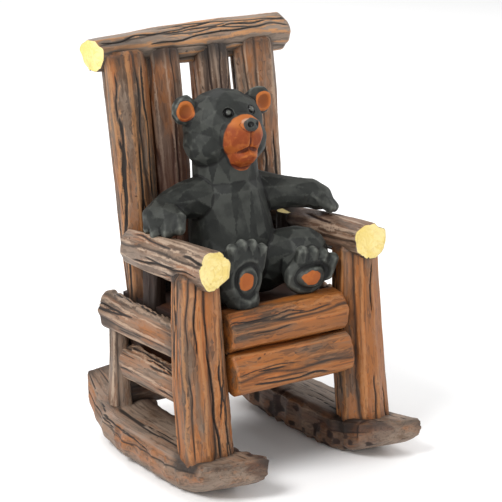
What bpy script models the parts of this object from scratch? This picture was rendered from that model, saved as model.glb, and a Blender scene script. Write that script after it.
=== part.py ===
# A bear sitting in a rocking chair of rough logs, a small cast figurine.
# Two cast pieces: the chair with its logs moulded as one, and the bear that sits on its seat.
# Metres, +Z up. +X is the bear's left hand, the bear faces -Y, and the rockers stand on Z = 0.

import math

import bmesh
import bpy
from mathutils import Matrix, Vector

# From the middle between the rockers to the middle of the whole figurine, where the origin is
to_origin = (-0.0007, -0.0054, 0)

# Front legs, which lean forward towards the floor
leg_spacing = 0.0496  # between their centre lines
leg_foot_y = -0.0155
leg_lean = 0.0052
leg_top_radius = 0.0061
leg_foot_radius = 0.0074

# Rear legs
rear_leg_inset = 0.0004  # towards the middle, from the front legs' line
rear_leg_y = 0.0280
rear_leg_radius = 0.0029

# Rockers
rocker_width = 0.0176
rocker_thickness = 0.0098
rocker_front_y = -0.0305
rocker_back_y = 0.0408
rocker_flat_front_y = -0.0095  # the level spot that the chair stands on
rocker_flat_back_y = 0.0170
rocker_bend_radius = 0.0430
rocker_bow = 0.55  # share of its outer half's width that a rocker loses at its back tip
rocker_front_lift = 0.4  # share of its underside's rise that the top follows at the front
rocker_toe = 0.0023  # how far both front tips turn towards the bear's left
rocker_askew = 0.32  # slope at which both front tips are cut

# Seat, and under it the boards behind the rails
seat_height = 0.0415
seat_thickness = 0.0165
seat_side_inset = 0.0023
seat_front_set = 0.0006  # behind the upper front rail's centre line
seat_back_overlap = 0.0010  # behind the rear legs' centre line

# Front rails, whose drops are from the seat's top to their centre lines
front_rail_radius = 0.0056
front_rail_end_gap = 0.0007  # the dark recess between a rail's end and the leg
upper_front_rail_set = 0.0019  # behind the front legs' feet
upper_front_rail_drop = 0.0013
lower_front_rail_set = -0.0007
lower_front_rail_drop = 0.0118

# Side rails
side_rail_outset = 0.0002
side_rail_radius = 0.0048
upper_side_rail_drop = 0.0053
lower_side_rail_drop = 0.0175
side_rail_tail = 0.0050  # how far the upper side rail runs out behind the rear leg
side_rail_gap = 0.0060  # from the lower side rail's end to the middle of the rear leg

# Rear rails, one above the other
rear_rail_radius = 0.0050
rear_rail_drop = 0.0063
rear_rail_pitch = 0.0105
rear_rail_count = 3

# Arms
arm_inset = 0.0006
arm_rise = 0.0173  # from the seat's top to the arm's centre line, at its front end
arm_drop = 0.0027  # how much lower the arm's back end lies
arm_overhang = 0.0029  # in front of the front legs' feet
arm_back_gap = 0.0028  # from the arm's end to the foot of the back
arm_radius = 0.0049
prop_radius = 0.0029
prop_y = 0.0150
prop_inset = 0.0030  # towards the middle, from the arm's line

# Back: two outer posts and two slats under a top log
back_rise = 0.0643  # from the seat's top to the top log's centre line
back_foot_set = 0.0035  # in front of the rear legs
back_lean = 0.0070
back_skew = 0.0012  # how far the posts' feet stand towards the bear's left of their tops
back_rail_radius = 0.0042
post_inset = 0.0040  # towards the middle, from the arm's line
post_sink = 0.0095  # below the seat's top
post_top_radius = 0.0063
post_foot_radius = 0.0042
slat_places = (-0.0083, 0.0070)
slat_sink = 0.0040
slat_top_radius = 0.0058
slat_foot_radius = 0.0046
top_log_length = 0.0610
top_log_radius = 0.0050
top_log_shift = 0.0025  # towards the bear's left
top_log_set = 0.0016  # behind the posts' tops
top_log_rise = 0.0012  # how much higher its left end lies than its right one

# Bear, whose pose and proportions are shares of its sitting height
bear_height = 0.0550
bear_shift = -0.0007

gap = 0.0003  # between the two cast pieces
furrow_depth = 0.11  # bark furrows, as a share of a log's radius
hewn_depth = 0.07  # how far a log is from round, as a share of its radius

log_sides = 14
log_spans = 4
rocker_spans = 5
limb_lumps = 8
bear_detail = 0.066  # share of the faces kept

# What follows from the sizes above
leg_x = leg_spacing / 2
arm_x = leg_x - arm_inset
arm_height = seat_height + arm_rise
arm_front_y = leg_foot_y - arm_overhang
back_height = seat_height + back_rise
back_foot_y = rear_leg_y - back_foot_set
arm_back_y = back_foot_y - arm_back_gap
post_x = arm_x - post_inset
leg_flatness = 0.92  # a front leg's width as a share of its depth
front_rail_half = leg_x - leg_top_radius * leg_flatness - front_rail_end_gap
upper_front_rail_y = leg_foot_y + upper_front_rail_set
seat_low = (-leg_x + seat_side_inset, upper_front_rail_y + seat_front_set, seat_height - seat_thickness)
seat_high = (leg_x - seat_side_inset, rear_leg_y + seat_back_overlap, seat_height)


def clear_scene():
    for item in list(bpy.data.objects):
        bpy.data.objects.remove(item, do_unlink=True)


def paint(name, colour, roughness):
    material = bpy.data.materials.new(name)
    material.use_nodes = True
    shader = material.node_tree.nodes["Principled BSDF"]
    shader.inputs["Base Color"].default_value = (*colour, 1)
    shader.inputs["Roughness"].default_value = roughness
    shader.inputs["Metallic"].default_value = 0.0
    return material


def new_object(name, mesh_data, collection=None):
    mesh = bpy.data.meshes.new(name)
    bmesh.ops.recalc_face_normals(mesh_data, faces=mesh_data.faces)
    bmesh.ops.translate(mesh_data, verts=mesh_data.verts, vec=to_origin)
    mesh_data.to_mesh(mesh)
    mesh_data.free()
    item = bpy.data.objects.new(name, mesh)
    (collection or bpy.context.scene.collection).objects.link(item)
    if collection:
        item.hide_render = True
        item.display_type = "WIRE"
    return item


def helpers(name):
    collection = bpy.data.collections.new(name)
    bpy.context.scene.collection.children.link(collection)
    return collection


def boolean(item, operation, collection):
    step = item.modifiers.new(operation.lower() + " " + collection.name, "BOOLEAN")
    step.operation = operation
    step.operand_type = "COLLECTION"
    step.collection = collection
    step.solver = "EXACT"


def along(points, share):
    """A point on the smooth curve through two or three points."""
    if len(points) == 2:
        return points[0].lerp(points[1], share)
    bend = points[1] * 2 - (points[0] + points[2]) / 2
    return points[0].lerp(bend, share).lerp(bend.lerp(points[2], share), share)


def swell(radii, share):
    """A log's radius, which runs smoothly through those at its start, middle and end."""
    start, middle, end = radii if len(radii) == 3 else (radii[0], sum(radii) / 2, radii[1])
    bend = middle * 2 - (start + end) / 2
    first = start * (1 - share) + bend * share
    return first * (1 - share) + (bend * (1 - share) + end * share) * share


def hewn(angle, corner, seed):
    """How far a log's side stands from round: broad facets, and a bark furrow at some corners."""
    wave = (
        0.45 * math.cos(2 * angle + seed * 1.7)
        + 0.35 * math.cos(3 * angle + seed * 2.9)
        + 0.20 * math.cos(5 * angle + seed * 4.3)
    )
    furrow = furrow_depth if (corner * 3 + seed) % 5 == 0 else 0
    return 1 + hewn_depth * wave - furrow


def skin(mesh_data, rings):
    """Sides between rings of points that follow each other, and a face on each end."""
    loops = [[mesh_data.verts.new(point) for point in ring] for ring in rings]
    count = len(loops[0])
    for first, second in zip(loops, loops[1:]):
        for corner in range(count):
            after = (corner + 1) % count
            mesh_data.faces.new((first[corner], first[after], second[after], second[corner]))
    mesh_data.faces.new(list(reversed(loops[0])))
    mesh_data.faces.new(loops[-1])


def log(name, collection, points, radii, seed, squash=(1, 1), grow=0.0, ends=(0.8, 0.8), slant=0.0):
    """A log along two or three points. radii are those at its start, middle and end, squash is
    (width, height), grow makes it fatter all round, ends is what its bevels leave of the radius,
    and slant is how much its starting end is cut askew."""
    points = [Vector(point) for point in points]
    rings = []
    last = log_spans + 2
    for place in range(last + 1):
        share = min(max(place - 1, 0), log_spans) / log_spans
        before, after = max(share - 0.05, 0), min(share + 0.05, 1)
        ahead = (along(points, after) - along(points, before)).normalized()
        reference = Vector((0, 1, 0)) if abs(ahead.z) > 0.8 else Vector((0, 0, 1))
        side = ahead.cross(reference).normalized()
        top = side.cross(ahead).normalized()
        centre = along(points, share)
        radius = swell(radii, share)
        if place == 0:
            centre -= ahead * grow
            radius *= ends[0]
        elif place == 1:
            centre += ahead * radius * (1 - ends[0])
        elif place == last - 1:
            centre -= ahead * radius * (1 - ends[1])
        elif place == last:
            centre += ahead * grow
            radius *= ends[1]
        ring = []
        for corner in range(log_sides):
            angle = 2 * math.pi * corner / log_sides
            reach = radius * hewn(angle, corner, seed) + grow
            across = side * math.cos(angle) * squash[0] + top * math.sin(angle) * squash[1]
            askew = ahead * slant * math.cos(angle) * radius if place < 2 else Vector()
            ring.append(centre + across * reach + askew)
        rings.append(ring)
    mesh_data = bmesh.new()
    skin(mesh_data, rings)
    return new_object(name, mesh_data, collection)


def block(name, collection, low, high):
    mesh_data = bmesh.new()
    size = [b - a for a, b in zip(low, high)]
    middle = [(a + b) / 2 for a, b in zip(low, high)]
    matrix = Matrix.Translation(middle) @ Matrix.Diagonal((*size, 1))
    bmesh.ops.create_cube(mesh_data, size=1, matrix=matrix)
    return new_object(name, mesh_data, collection)


def rocker_underside(y):
    """Height of a rocker's underside: level in the middle, then turning up on an arc."""
    reach = max(rocker_flat_front_y - y, y - rocker_flat_back_y, 0)
    return rocker_bend_radius - math.sqrt(rocker_bend_radius**2 - reach**2)


def rocker(name, collection, side):
    half_width = rocker_width / 2
    half_length = (rocker_back_y - rocker_front_y) / 2
    corner = rocker_width * 0.12
    # Across the rocker, from its inner edge outwards: a flat base that is rounded under its outer
    # edge, and a top that falls outwards a little.
    section = (
        (-half_width + corner, 0),
        (half_width - corner * 1.6, 0),
        (half_width - corner * 0.35, corner * 1.1),
        (half_width, rocker_thickness * 0.45),
        (half_width - corner * 0.25, rocker_thickness * 0.86),
        (half_width - corner * 1.2, rocker_thickness * 0.95),
        (0, rocker_thickness),
        (-half_width + corner, rocker_thickness * 1.02),
        (-half_width, rocker_thickness * 0.92),
        (-half_width, corner),
    )
    places = []
    for tip, level in ((rocker_front_y, rocker_flat_front_y), (rocker_back_y, rocker_flat_back_y)):
        run = level - tip
        shares = [0, 0.09] + [0.24 + 0.76 * step / rocker_spans for step in range(rocker_spans + 1)]
        places += [(tip + run * share, abs(run * share)) for share in shares]
    places.sort()
    rings = []
    for y, from_tip in places:
        rise = rocker_underside(y)
        top_rise = rise * (rocker_front_lift if y < rocker_flat_front_y else 1)
        bow = rocker_bow * max(0, (y - rocker_front_y) / half_length - 1) ** 2
        # Both tips are rounded in plan, and the front ones are turned and cut askew.
        rounding = max(0, 1 - from_tip / half_width) ** 2
        forward = max(0, (rocker_flat_front_y - y) / (rocker_flat_front_y - rocker_front_y))
        ring = []
        for across, up in section:
            across *= (1 - bow) * (1 - rounding * 0.2) if across > 0 else 1 - rounding * 0.2
            up = rocker_thickness * 0.5 + (up - rocker_thickness * 0.5) * (1 - 0.15 * rounding)
            height = up + rise + (top_rise - rise) * up / rocker_thickness
            askew = forward * rocker_askew * (half_width - side * across)
            ring.append((side * (leg_x + across) + forward * rocker_toe, y + askew, height))
        rings.append(ring)
    mesh_data = bmesh.new()
    skin(mesh_data, rings)
    return new_object(name, mesh_data, collection)


def arm_centre(y):
    share = (y - arm_front_y) / (arm_back_y - arm_front_y)
    return arm_height - arm_drop * share


def back_line(x, low, high, spread=1.0):
    """Three points up a post or slat, which leans back as it rises. spread brings its foot in."""
    points = []
    for height in (low, (low + high) / 2, high):
        share = (height - seat_height) / back_rise
        bow = back_lean * (0.55 * share + 0.45 * share * share)
        across = x * (1 + (spread - 1) * (1 - share)) + back_skew * (1 - share)
        points.append((across, back_foot_y + bow, height))
    return points


def level_log(name, collection, half_length, y, height, radius, seed, **shape):
    """A log that lies across the chair."""
    points = ((-half_length, y, height), (half_length, y, height))
    log(name, collection, points, (radius, radius), seed, **shape)


def touching_logs(collection, grow):
    """The logs that the bear leans on or holds, made fatter by grow."""
    for side in (-1, 1):
        arm_middle_y = (arm_front_y + arm_back_y) / 2
        log(
            f"arm {side}",
            collection,
            (
                (side * arm_x, arm_front_y, arm_height),
                (side * (arm_x + 0.0004), arm_middle_y, arm_centre(arm_middle_y)),
                (side * arm_x, arm_back_y, arm_height - arm_drop),
            ),
            (arm_radius, arm_radius * 1.03, arm_radius * 0.86),
            seed=3 + side,
            grow=grow,
            ends=(0.97, 0.68),
        )
        log(
            f"outer post {side}",
            collection,
            back_line(side * post_x, seat_height - post_sink, back_height),
            (post_foot_radius, post_top_radius * 0.93, post_top_radius),
            seed=6 + side,
            squash=(1, 0.85),
            grow=grow,
        )
    for index, x in enumerate(slat_places):
        log(
            f"slat {index}",
            collection,
            back_line(x, seat_height - slat_sink, back_height, spread=0.96),
            (slat_foot_radius, slat_top_radius * 0.95, slat_top_radius),
            seed=11 + index * 3,
            squash=(1, 0.72),
            grow=grow,
        )
    level_log(
        "upper front rail",
        collection,
        front_rail_half,
        upper_front_rail_y,
        seat_height - upper_front_rail_drop,
        front_rail_radius,
        seed=2,
        squash=(0.85, 1),
        grow=grow,
        ends=(0.86, 0.62),
    )


def front_leg(collection, side):
    foot = rocker_thickness * 0.6
    top = arm_centre(leg_foot_y) - arm_radius * 0.35
    knee = foot + (top - foot) * 0.42
    log(
        f"front leg {side}",
        collection,
        (
            (side * leg_x, leg_foot_y, foot),
            (side * leg_x, leg_foot_y + leg_lean * 0.62, knee),
            (side * leg_x, leg_foot_y + leg_lean, top),
        ),
        (leg_foot_radius, leg_foot_radius * 0.97, leg_top_radius),
        seed=8 + side,
        squash=(leg_flatness, 1.06),
    )


def rear_leg(collection, side):
    x = side * (leg_x - rear_leg_inset)
    log(
        f"rear leg {side}",
        collection,
        (
            (x, rear_leg_y, rocker_thickness * 0.5),
            (x, rear_leg_y, rocker_thickness * 2.5),
            (x, rear_leg_y, seat_height - upper_side_rail_drop),
        ),
        (rear_leg_radius * 1.5, rear_leg_radius, rear_leg_radius * 1.1),
        seed=10 + side,
    )


def side_rails(collection, side):
    x = side * (leg_x + side_rail_outset)
    front = leg_foot_y + leg_lean + leg_top_radius * 0.6
    upper = seat_height - upper_side_rail_drop
    lower = seat_height - lower_side_rail_drop
    log(
        f"upper side rail {side}",
        collection,
        ((x, front, upper), (x, rear_leg_y + side_rail_tail, upper)),
        (side_rail_radius * 0.9, side_rail_radius * 1.08),
        seed=12 + side,
        squash=(0.8, 1),
        ends=(0.9, 0.6),
    )
    log(
        f"lower side rail {side}",
        collection,
        ((x, front, lower), (x, rear_leg_y - side_rail_gap, lower)),
        (side_rail_radius * 0.9, side_rail_radius),
        seed=14 + side,
        squash=(0.8, 1),
        ends=(0.9, 0.8),
    )


def arm_prop(collection, side):
    x = side * (arm_x - prop_inset)
    log(
        f"arm prop {side}",
        collection,
        (
            (x, prop_y, seat_height - seat_thickness / 2),
            (x, prop_y, arm_centre(prop_y) + arm_radius * 0.72),
        ),
        (prop_radius * 1.05, prop_radius),
        seed=16 + side,
        ends=(0.9, 0.9),
    )


def top_log(collection):
    y = back_foot_y + back_lean + top_log_set
    half = top_log_length / 2
    log(
        "top log",
        collection,
        (
            (top_log_shift - half, y, back_height - top_log_rise * 0.65),
            (top_log_shift, y, back_height),
            (top_log_shift + half, y, back_height + top_log_rise * 0.35),
        ),
        (top_log_radius * 0.84, top_log_radius * 1.04, top_log_radius),
        seed=4,
        ends=(0.97, 0.62),
        slant=0.25,
    )


def rear_rails(collection):
    level_log(
        "back rail",
        collection,
        post_x,
        back_foot_y,
        seat_height,
        back_rail_radius,
        seed=17,
        squash=(0.8, 1.3),
    )
    for index in range(rear_rail_count):
        level_log(
            f"rear rail {index}",
            collection,
            leg_x - rear_leg_inset,
            rear_leg_y,
            seat_height - rear_rail_drop - rear_rail_pitch * index,
            rear_rail_radius,
            seed=18 + index,
            squash=(0.75, 1.08),
        )


def make_chair():
    collection = helpers("chair logs")
    touching_logs(collection, 0.0)
    level_log(
        "lower front rail",
        collection,
        front_rail_half,
        leg_foot_y + lower_front_rail_set,
        seat_height - lower_front_rail_drop,
        front_rail_radius,
        seed=5,
        squash=(0.85, 0.96),
        ends=(0.8, 0.7),
    )
    for side in (-1, 1):
        rocker(f"rocker {side}", collection, side)
        front_leg(collection, side)
        rear_leg(collection, side)
        side_rails(collection, side)
        arm_prop(collection, side)
    top_log(collection)
    rear_rails(collection)
    chair = block("rocking_chair", None, seat_low, seat_high)
    chair.data.materials.append(paint("painted log", (0.30, 0.16, 0.09), 0.62))
    boolean(chair, "UNION", collection)
    return chair


class Clay:
    """Lumps that are pressed together into one body. Points are in 55ths of the bear's sitting
    height, from the middle of the seat at the foot of the bear."""

    def __init__(self):
        self.mesh_data = bmesh.new()
        self.unit = bear_height / 55
        self.origin = Vector((bear_shift, 0, seat_height))

    def place(self, point):
        return self.origin + Vector(point) * self.unit

    def ball(self, mesh_data, centre, radii, turn=(0, 0, 0), roundness=3):
        spin = Matrix.Rotation(math.radians(turn[2]), 4, "Z")
        spin @= Matrix.Rotation(math.radians(turn[1]), 4, "Y")
        spin @= Matrix.Rotation(math.radians(turn[0]), 4, "X")
        stretch = Matrix.Diagonal((*[radius * self.unit for radius in radii], 1))
        matrix = Matrix.Translation(self.place(centre)) @ spin @ stretch
        bmesh.ops.create_icosphere(mesh_data, subdivisions=roundness, radius=1, matrix=matrix)

    def lump(self, centre, radii, turn=(0, 0, 0)):
        self.ball(self.mesh_data, centre, radii, turn)

    def limb(self, points, radii):
        """A run of lumps along two or three points, whose radius follows radii."""
        points = [Vector(point) for point in points]
        for step in range(limb_lumps):
            share = step / (limb_lumps - 1)
            self.lump(along(points, share), [swell(radii, share)] * 3)


def bear_clay():
    clay = Clay()
    # Body
    clay.lump((0, 8.6, 12.6), (12.2, 11.2, 12.6))
    clay.lump((0, 10.8, 25), (10.4, 9.2, 10.5))
    clay.limb(((0, 12, 30), (0, 12.6, 38)), (8.4, 8.0))
    # Head
    clay.lump((0, 13, 45.6), (10.2, 9.8, 9.6))
    clay.lump((0, 5.6, 44.3), (5.5, 6.2, 6.1))
    clay.lump((0, 4.8, 39.4), (4.2, 4.8, 3.3))
    clay.lump((0, -0.4, 48.0), (2.2, 1.5, 1.9))
    for side in (-1, 1):
        clay.lump((side * 4.3, 12, 41.4), (6.5, 6.7, 6.3))
        clay.lump((side * 11.1, 14, 50.6), (4.0, 2.4, 4.0), (0, 0, side * -12))
    # The right arm lies along the chair's arm, with the paw resting on it
    clay.limb(((-8.5, 11.2, 27.5), (-14.5, 11.2, 27.2), (-19.6, 10.4, 25.4)), (5.6, 4.7, 4.5))
    clay.lump((-21.4, 8.4, 24.6), (4.6, 6.4, 4.0), (0, 0, 14))
    for root, tip in (
        ((-22.4, 11.8, 25.0), (-24.3, 11.0, 21.6)),
        ((-22.8, 8.2, 25.4), (-25.0, 6.6, 21.4)),
        ((-21.8, 5.0, 25.4), (-23.6, 3.2, 22.0)),
        ((-20.0, 3.4, 25.4), (-21.2, 1.2, 23.0)),
    ):
        clay.limb((root, tip), (2.0, 1.7))
    # The left arm reaches further out, and its paw hangs over the chair's arm
    clay.limb(((9.0, 10.6, 27.8), (15, 4.8, 28.2), (20.8, 2.4, 27.4)), (5.2, 3.9, 3.9))
    clay.lump((22.4, 1.4, 26.2), (4.0, 4.6, 3.5), (0, 14, -20))
    for root, tip in (
        ((24.0, 3.4, 26.0), (26.4, 3.2, 23.8)),
        ((24.0, 1.2, 26.0), (26.8, 0.4, 23.4)),
        ((23.4, -0.8, 25.8), (25.8, -2.2, 23.4)),
        ((22.0, -2.0, 25.8), (23.4, -4.0, 23.8)),
    ):
        clay.limb((root, tip), (1.9, 1.6))
    # Right leg and foot, with the sole upright
    clay.limb(((-6.5, 6, 7.6), (-9, -1, 8.6), (-11.6, -8.0, 10.4)), (7.2, 6.6, 6.2))
    clay.lump((-10.2, -10.8, 11.6), (5.8, 3.4, 8.0))
    clay.lump((-10.2, -11.2, 5.6), (4.6, 3.6, 4.4))
    clay.lump((-10.4, -11.2, 16.4), (6.8, 2.8, 3.6))
    for toe, height in enumerate((19.8, 20.6, 20.2, 18.6)):
        x = -16.2 + toe * 4.0
        clay.limb(((x * 0.9 - 1.0, -11.2, height - 4.5), (x, -12.2, height)), (2.1, 1.8))
    # Left leg, with the knee up and the foot turned out
    clay.limb(((7.0, 6, 8), (11.0, -2, 12.6), (12.6, -6.0, 13.4)), (7.4, 6.8, 6.4))
    clay.limb(((12.0, -6, 12), (9.6, -10.0, 9.4)), (6.2, 5.4))
    clay.lump((9.2, -11.4, 9.0), (6.6, 3.0, 5.2), (0, 6, 0))
    for toe, height in enumerate((16.0, 15.4, 14.2, 12.6)):
        x = 6.8 + toe * 3.6
        clay.limb(((x * 0.88 + 0.8, -11.6, height - 4.2), (x, -12.6, height)), (2.1, 1.9))
    return clay


def ring_of(clay, centre, width, height, thickness):
    """An oval ring that stands upright, facing -Y."""
    ring = bmesh.new()
    sides, around = 20, 6
    loops = []
    for step in range(sides):
        turn = 2 * math.pi * step / sides
        loop = []
        for corner in range(around):
            roll = 2 * math.pi * corner / around
            reach = thickness * math.cos(roll)
            x = centre[0] + math.cos(turn) * (width + reach)
            z = centre[2] + math.sin(turn) * (height + reach)
            loop.append(ring.verts.new(clay.place((x, centre[1] + thickness * math.sin(roll), z))))
        loops.append(loop)
    for first, second in zip(loops, loops[1:] + loops[:1]):
        for corner in range(around):
            beside = (corner + 1) % around
            ring.faces.new((first[corner], second[corner], second[beside], first[beside]))
    return ring


def carve(clay, collection):
    """Cuts for the ears' hollows, the mouth and the grooves round the pads of the soles."""
    for side in (-1, 1):
        hollow = bmesh.new()
        clay.ball(hollow, (side * 11.3, 11.0, 50.4), (2.7, 2.7, 2.7), roundness=2)
        new_object(f"ear hollow {side}", hollow, collection)
    mouth = bmesh.new()
    clay.ball(mouth, (0, -0.4, 40.9), (4.4, 3.0, 0.55), roundness=2)
    new_object("mouth", mouth, collection)
    for centre, width, height in (((-10.4, -14.2, 11.4), 3.5, 3.8), ((9.4, -14.1, 8.9), 4.9, 3.3)):
        new_object("sole groove", ring_of(clay, centre, width, height, 0.8), collection)


def make_bear():
    clay = bear_clay()
    carving = helpers("carving")
    carve(clay, carving)
    bear = new_object("bear", clay.mesh_data)
    bear.data.materials.append(paint("charcoal paint", (0.035, 0.037, 0.036), 0.55))
    merge = bear.modifiers.new("press together", "REMESH")
    merge.mode = "VOXEL"
    merge.voxel_size = bear_height / 100
    rub = bear.modifiers.new("rub smooth", "SMOOTH")
    rub.factor = 0.5
    rub.iterations = 4
    thin = bear.modifiers.new("broad facets", "DECIMATE")
    thin.ratio = bear_detail
    boolean(bear, "DIFFERENCE", carving)
    chair_faces = helpers("clearance")
    touching_logs(chair_faces, gap)
    low = [edge - gap for edge in seat_low]
    high = [edge + gap for edge in seat_high]
    block("seat clearance", chair_faces, low, high)
    boolean(bear, "DIFFERENCE", chair_faces)
    return bear


clear_scene()
make_chair()
make_bear()
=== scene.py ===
import math

import bpy
import numpy as np
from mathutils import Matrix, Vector
from mathutils.bvhtree import BVHTree


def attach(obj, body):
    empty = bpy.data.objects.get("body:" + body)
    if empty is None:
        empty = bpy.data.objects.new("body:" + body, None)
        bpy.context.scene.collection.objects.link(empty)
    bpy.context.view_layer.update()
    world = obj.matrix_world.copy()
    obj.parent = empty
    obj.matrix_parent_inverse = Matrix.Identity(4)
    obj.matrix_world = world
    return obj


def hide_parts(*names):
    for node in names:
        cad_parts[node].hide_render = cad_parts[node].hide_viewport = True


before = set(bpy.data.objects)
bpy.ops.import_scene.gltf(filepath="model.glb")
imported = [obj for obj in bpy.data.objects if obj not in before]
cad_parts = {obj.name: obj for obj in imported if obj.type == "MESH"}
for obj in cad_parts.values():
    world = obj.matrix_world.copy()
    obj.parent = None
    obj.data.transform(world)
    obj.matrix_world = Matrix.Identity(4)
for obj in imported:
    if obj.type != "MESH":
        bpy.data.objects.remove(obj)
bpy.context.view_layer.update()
print("frame loaded")

toOrigin = np.array((-0.0007, -0.0054, 0.0))  # from between the rockers to the figurine's middle


# Camera, floor and lights

view = {
    "camera": (-0.25476, -0.37085, 0.18467),
    "aim": (0.01685, 0.02568, 0.04686),
    "lens": 128.9,
    "floorSize": 3.0,
    "floorTone": 0.98,
    "skyTone": 1.0,
    "skyStrength": 0.60,
    "lamps": (  # place, size, watts
        ((-0.60, -0.15, 0.70), 0.40, 5.6),
        ((0.75, -0.20, 0.45), 0.50, 1.9),
        ((-0.10, -0.85, 0.35), 0.60, 0.8),
        ((0.10, 0.70, 0.65), 0.50, 3.4),
    ),
}


def deselectAll():
    bpy.ops.object.select_all(action="DESELECT")


def aimAt(item, target):
    direction = Vector(target) - item.location
    item.rotation_euler = direction.to_track_quat("-Z", "Y").to_euler()


def buildStage():
    deselectAll()
    bpy.ops.object.camera_add(location=Vector(view["camera"]) + Vector(toOrigin))
    camera = bpy.context.object
    camera.data.lens = view["lens"]
    camera.data.sensor_width = 36
    camera.data.clip_start = 0.01
    aimAt(camera, Vector(view["aim"]) + Vector(toOrigin))
    bpy.context.scene.camera = camera
    for place, size, watts in view["lamps"]:
        bpy.ops.object.light_add(type="AREA", location=place)
        lamp = bpy.context.object
        lamp.data.shape = "DISK"
        lamp.data.size = size
        lamp.data.energy = watts
        aimAt(lamp, (0, 0, 0.05))
    world = bpy.data.worlds.new("studio")
    world.use_nodes = True
    sky = world.node_tree.nodes["Background"]
    sky.inputs["Color"].default_value = (view["skyTone"],) * 3 + (1,)
    sky.inputs["Strength"].default_value = view["skyStrength"]
    bpy.context.scene.world = world
    bpy.context.scene.view_settings.view_transform = "Standard"
    bpy.ops.mesh.primitive_plane_add(size=view["floorSize"])
    floor = bpy.context.object
    floor.name = "floor"
    paper = bpy.data.materials.new("pale paper")
    paper.use_nodes = True
    shader = paper.node_tree.nodes["Principled BSDF"]
    shader.inputs["Base Color"].default_value = (view["floorTone"],) * 3 + (1,)
    shader.inputs["Roughness"].default_value = 0.9
    floor.data.materials.append(paper)
    print("stage ready")


# Helpers for points and attributes

def readPoints(item):
    points = np.zeros(len(item.data.vertices) * 3)
    item.data.vertices.foreach_get("co", points)
    return points.reshape(-1, 3)


def writePoints(item, points):
    item.data.vertices.foreach_set("co", np.ascontiguousarray(points, np.float32).ravel())
    item.data.update()


def readNormals(item):
    normals = np.zeros(len(item.data.vertices) * 3)
    item.data.vertices.foreach_get("normal", normals)
    return normals.reshape(-1, 3)


def cornerPoints(item):
    index = np.zeros(len(item.data.loops), np.int32)
    item.data.loops.foreach_get("vertex_index", index)
    return index


def cornerFaces(item):
    sizes = np.zeros(len(item.data.polygons), np.int32)
    item.data.polygons.foreach_get("loop_total", sizes)
    return np.repeat(np.arange(len(sizes)), sizes)


def faceMiddles(item):
    middles = np.zeros(len(item.data.polygons) * 3)
    item.data.polygons.foreach_get("center", middles)
    return middles.reshape(-1, 3)


def edgeEnds(item):
    ends = np.zeros(len(item.data.edges) * 2, np.int32)
    item.data.edges.foreach_get("vertices", ends)
    return ends.reshape(-1, 2)


def countTriangles(item):
    return sum(len(face.vertices) - 2 for face in item.data.polygons)


def storeNumber(item, name, values):
    layer = item.data.attributes.new(name, "FLOAT", "POINT")
    layer.data.foreach_set("value", np.ascontiguousarray(values, np.float32))


def storeVector(item, name, values):
    layer = item.data.attributes.new(name, "FLOAT_VECTOR", "CORNER")
    layer.data.foreach_set("vector", np.ascontiguousarray(values, np.float32).ravel())


def storeColour(item, name, red, green, blue):
    layer = item.data.attributes.new(name, "FLOAT_COLOR", "CORNER")
    values = np.stack([red, green, blue, np.ones(len(red))], axis=1)
    layer.data.foreach_set("color", np.ascontiguousarray(values, np.float32).ravel())


def selectByFace(item, chosen):
    # Selects just these faces, in object mode
    mesh = item.data
    mesh.vertices.foreach_set("select", np.zeros(len(mesh.vertices), bool))
    mesh.edges.foreach_set("select", np.zeros(len(mesh.edges), bool))
    mesh.polygons.foreach_set("select", chosen)


def storeLooks(item, grain, groove, ridge, cut, orange, wash, dark):
    # What the wood's paint reads; the dark part of the tint is mostly painted shade
    storeVector(item, "grain", grain)
    storeColour(item, "wear", groove, ridge * 0.5 + 0.5, cut)
    storeColour(item, "tint", orange, wash, dark)


def onlyItem(item):
    deselectAll()
    item.select_set(True)
    bpy.context.view_layer.objects.active = item


def applyStep(item, name, kind, **settings):
    onlyItem(item)
    step = item.modifiers.new(name, kind)
    for key, value in settings.items():
        setattr(step, key, value)
    bpy.ops.object.modifier_apply(modifier=name)


def smoothStep(value):
    value = np.clip(value, 0, 1)
    return value * value * (3 - 2 * value)


def wrapAngle(angle):
    return (angle + np.pi) % (2 * np.pi) - np.pi


def cup(off, radius):
    return np.clip(1 - (off / radius) ** 2, 0, 1)


def bell(off, width):
    return np.exp(-(off / width) ** 2)


def patchNoise(angle, down, cells, length, seed):
    # Smooth noise from -1 to 1 on a log's side: cells fit round it, each this long
    rng = np.random.default_rng(seed)
    rows = int(abs(down).max() / length) + 4
    grid = rng.uniform(-1, 1, (cells, rows))
    around = (angle / (2 * np.pi)) % 1 * cells
    along = down / length + 1
    column = np.floor(around).astype(int)
    row = np.floor(along).astype(int)
    across = smoothStep(around - column)
    up = smoothStep(along - row)
    first = grid[column % cells, row] * (1 - up) + grid[column % cells, row + 1] * up
    after = (column + 1) % cells
    second = grid[after, row] * (1 - up) + grid[after, row + 1] * up
    return first * (1 - across) + second * across


def lineNoise(down, length, seed):
    return patchNoise(np.zeros(len(down)), down, 1, length, seed)


# The chair's sizes are the ones that the solids have

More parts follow.
